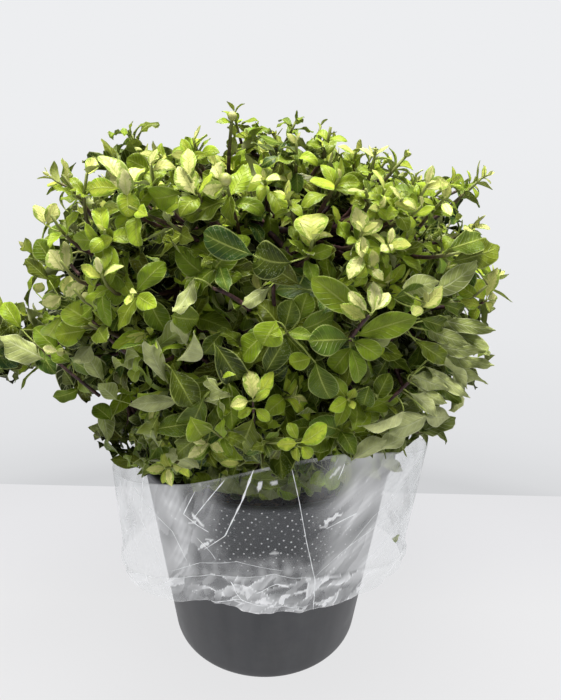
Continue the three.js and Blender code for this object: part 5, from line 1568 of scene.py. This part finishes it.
def camera_and_lights():
    """The camera at the photographed view, and plain soft studio light from above, left and right."""
    scene = bpy.context.scene
    scene.view_settings.view_transform = "Standard"
    data = bpy.data.cameras.new("camera")
    data.lens, data.sensor_width = CAMERA_LENS, 36
    camera = bpy.data.objects.new("camera", data)
    camera.location = [value * MM for value in CAMERA_PLACE]
    camera.rotation_mode = "ZXY"
    camera.rotation_euler = (math.pi / 2 - CAMERA_DOWN, 0, CAMERA_ROLL)
    scene.collection.objects.link(camera)
    scene.camera = camera
    # Each light's name, place in metres, size, power and colour
    lights = (
        ("window_left", (-1.05, -1.15, 1.0), 0.6, 112, "#fff7e6"),
        ("window_right", (1.3, -0.7, 0.9), 0.6, 20, "#fffdf8"),
        ("panel_above", (0.0, -0.2, 1.7), 0.9, 43, "#fffdf8"),
        ("panel_behind", (0.3, 1.3, 1.2), 0.9, 12, "#ffffff"),
    )
    for name, place, size, power, colour in lights:
        light = bpy.data.lights.new(name, "AREA")
        light.shape, light.size, light.energy = "DISK", size, power
        light.color = linear(colour)[:3]
        lamp = bpy.data.objects.new(name, light)
        lamp.location = place
        way = np.array([0, 0, 0.26]) - np.array(place)
        lamp.rotation_euler = (math.acos(-way[2] / np.linalg.norm(way)), 0, math.atan2(way[0], -way[1]))
        scene.collection.objects.link(lamp)
    world = bpy.data.worlds.new("studio")
    scene.world = world
    world.use_nodes = True
    tree = world.node_tree
    seen = tree.nodes["Background"]
    # The backdrop as seen, with painted shade that makes it a little darker where it meets the floor
    way = add(tree, "SeparateXYZ", {0: add(tree, "TexCoord", out="Generated")}, out=2)
    height = add(tree, "MapRange", {0: way, 1: -0.56, 2: 0.04})
    shade = add(tree, "ValToRGB", {0: height}, stops=(
        (0.1, "#d0d1d3"), (0.14, "#d9dadc"), (0.16, "#dbdcde"), (0.18, "#dddee0"), (0.2, "#dfe0e2"),
        (0.25, "#e2e3e5"), (0.5, "#e8e9eb"), (1.0, "#edeef0")))
    join(tree, seen, {0: shade})
    # The light that it gives: bright overhead, and dim towards the floor
    aloft = add(tree, "MapRange", {0: way, 1: -0.3, 2: 1.0})
    glow = add(tree, "ValToRGB", {0: aloft}, stops=(
        (0.0, "#8c8d90"), (0.3, "#a4a6aa"), (0.6, "#dcdfe4"), (1.0, "#ffffff")))
    lit = add(tree, "Background", {0: glow, 1: 0.45})
    path = add(tree, "LightPath", out="Is Camera Ray")
    both = add(tree, "MixShader", {0: path, 1: lit, 2: seen.outputs[0]})
    join(tree, tree.nodes["World Output"], {0: both})


def make_floor():
    """A plain pale floor that ends behind the plant, where the pale backdrop begins."""
    near, far, wide = -1400, 200, 1600
    points = np.array([(-wide, near, 0), (wide, near, 0), (wide, far, 0), (-wide, far, 0)])
    make_mesh("floor", points, np.arange(4), [plain_floor()])


def leaf_pieces(leaves, masses):
    """The leaves in pieces: by the ring of the mass they belong to, which the piece stands for, and by
    age, except those deep in the crown and the few nearest to the front. Those deep in the crown wear
    copies of the leaf materials with hardly any gloss, which darkens them as painted shade."""
    sides = [leaf_upper("waxy_leaf_upper_side", 0.2), leaf_under("downy_leaf_underside", 0.2)]
    # Painted shade: the same leaf materials with their gloss turned down, for the leaves deep in the crown
    shaded = [leaf_upper("shaded_leaf_upper_side", 0.04), leaf_under("shaded_leaf_underside", 0.04)]
    ring_of = np.array([mass["ring"] for mass in masses])[leaves["owner"]]
    age, layer = leaves["age"], leaves["layer"]
    deep, front = (layer == 1) | (layer == 2), layer >= FEATURED
    ages = (("young", 0.0, 0.27), ("green", 0.27, 0.6), ("dark", 0.6, 1.01))
    kinds = [(kind, ~deep & ~front & (age >= low) & (age < high)) for kind, low, high in ages]
    for ring in ("upper", "middle", "lower", "spray"):
        nodes = [f"foliage_{mass['name']}" for mass in masses if mass["ring"] == ring]
        for kind, of_kind in [*kinds, ("inner", deep), ("front", front)]:
            keep = of_kind & (ring_of == ring)
            if keep.any():
                looks = shaded if kind == "inner" else sides
                grid = LEAF_GRIDS.get(kind, LEAF_GRIDS["other"])
                make_leaves(f"{kind}_leaves_{ring}", pick(leaves, keep), looks, grid, *nodes)
    make_leaves("fallen_leaf", fallen_leaf(), sides, LEAF_GRIDS["front"])


def main():
    masses = plan_masses()
    branches = grow_branches(masses)
    shoots = grow_shoots(masses, branches)
    leaves = clear_view(fitting(add_placed(place_leaves(shoots), masses)))
    # A grown shoot that has hardly any leaf left would be a bare stick, so it goes, with its last leaves
    held = np.bincount(leaves["shoot"][leaves["shoot"] >= 0], minlength=len(shoots["tip"]))
    stays = (held > 2) | (shoots["layer"] == FEATURED) | (shoots["layer"] == SPRIG)
    leaves = pick(leaves, (leaves["shoot"] < 0) | stays[leaves["shoot"]])
    leafy = pick(shoots, stays)
    leaf_pieces(leaves, masses)
    twig = twig_bark()
    make_twigs("leafy_shoots", leafy, 1.6, 0.85, 7, 5, twig, (1.0, 0.48))
    make_twigs("stalks_of_leaves", leaf_stalks(leaves, leafy), 0.55, 0.4, 6, 5, twig, (0.6, 0.2))
    for index, (*curve, thick) in enumerate(STEMS):
        stem = {key: np.array([point], float) for key, point in zip(CURVE, curve)}
        make_twigs(f"shown_stem_{index + 1}", stem, thick, 0.75 * thick, 14, 9, twig, (1.0, 0.7))
    make_twigs("side_branches", branches, 2.3, 1.3, 9, 7, twig, (1.0, 1.0))
    # Each mass has a short stem of its own, from where its bough ends to its seed
    feet, heads = np.array([(bough_points(mass)[2], mass["seed"]) for mass in masses]).swapaxes(0, 1)
    feet[-2] = leader_at(np.array(1.0))
    stems = {"root": feet, "bend": (feet + heads) / 2, "tip": heads}
    make_twigs("stems_of_masses", stems, 2.3, 2.1, 6, 8, twig, (1.0, 1.0))
    make_buds(shoots, bud_skin())
    make_limbs(masses, old_bark())
    make_pot(pot_plastic())
    make_mix(potting_soil())
    make_film(clear_film(), clear_film_inside())
    make_creases(pinched_film())
    camera_and_lights()
    make_floor()


main()
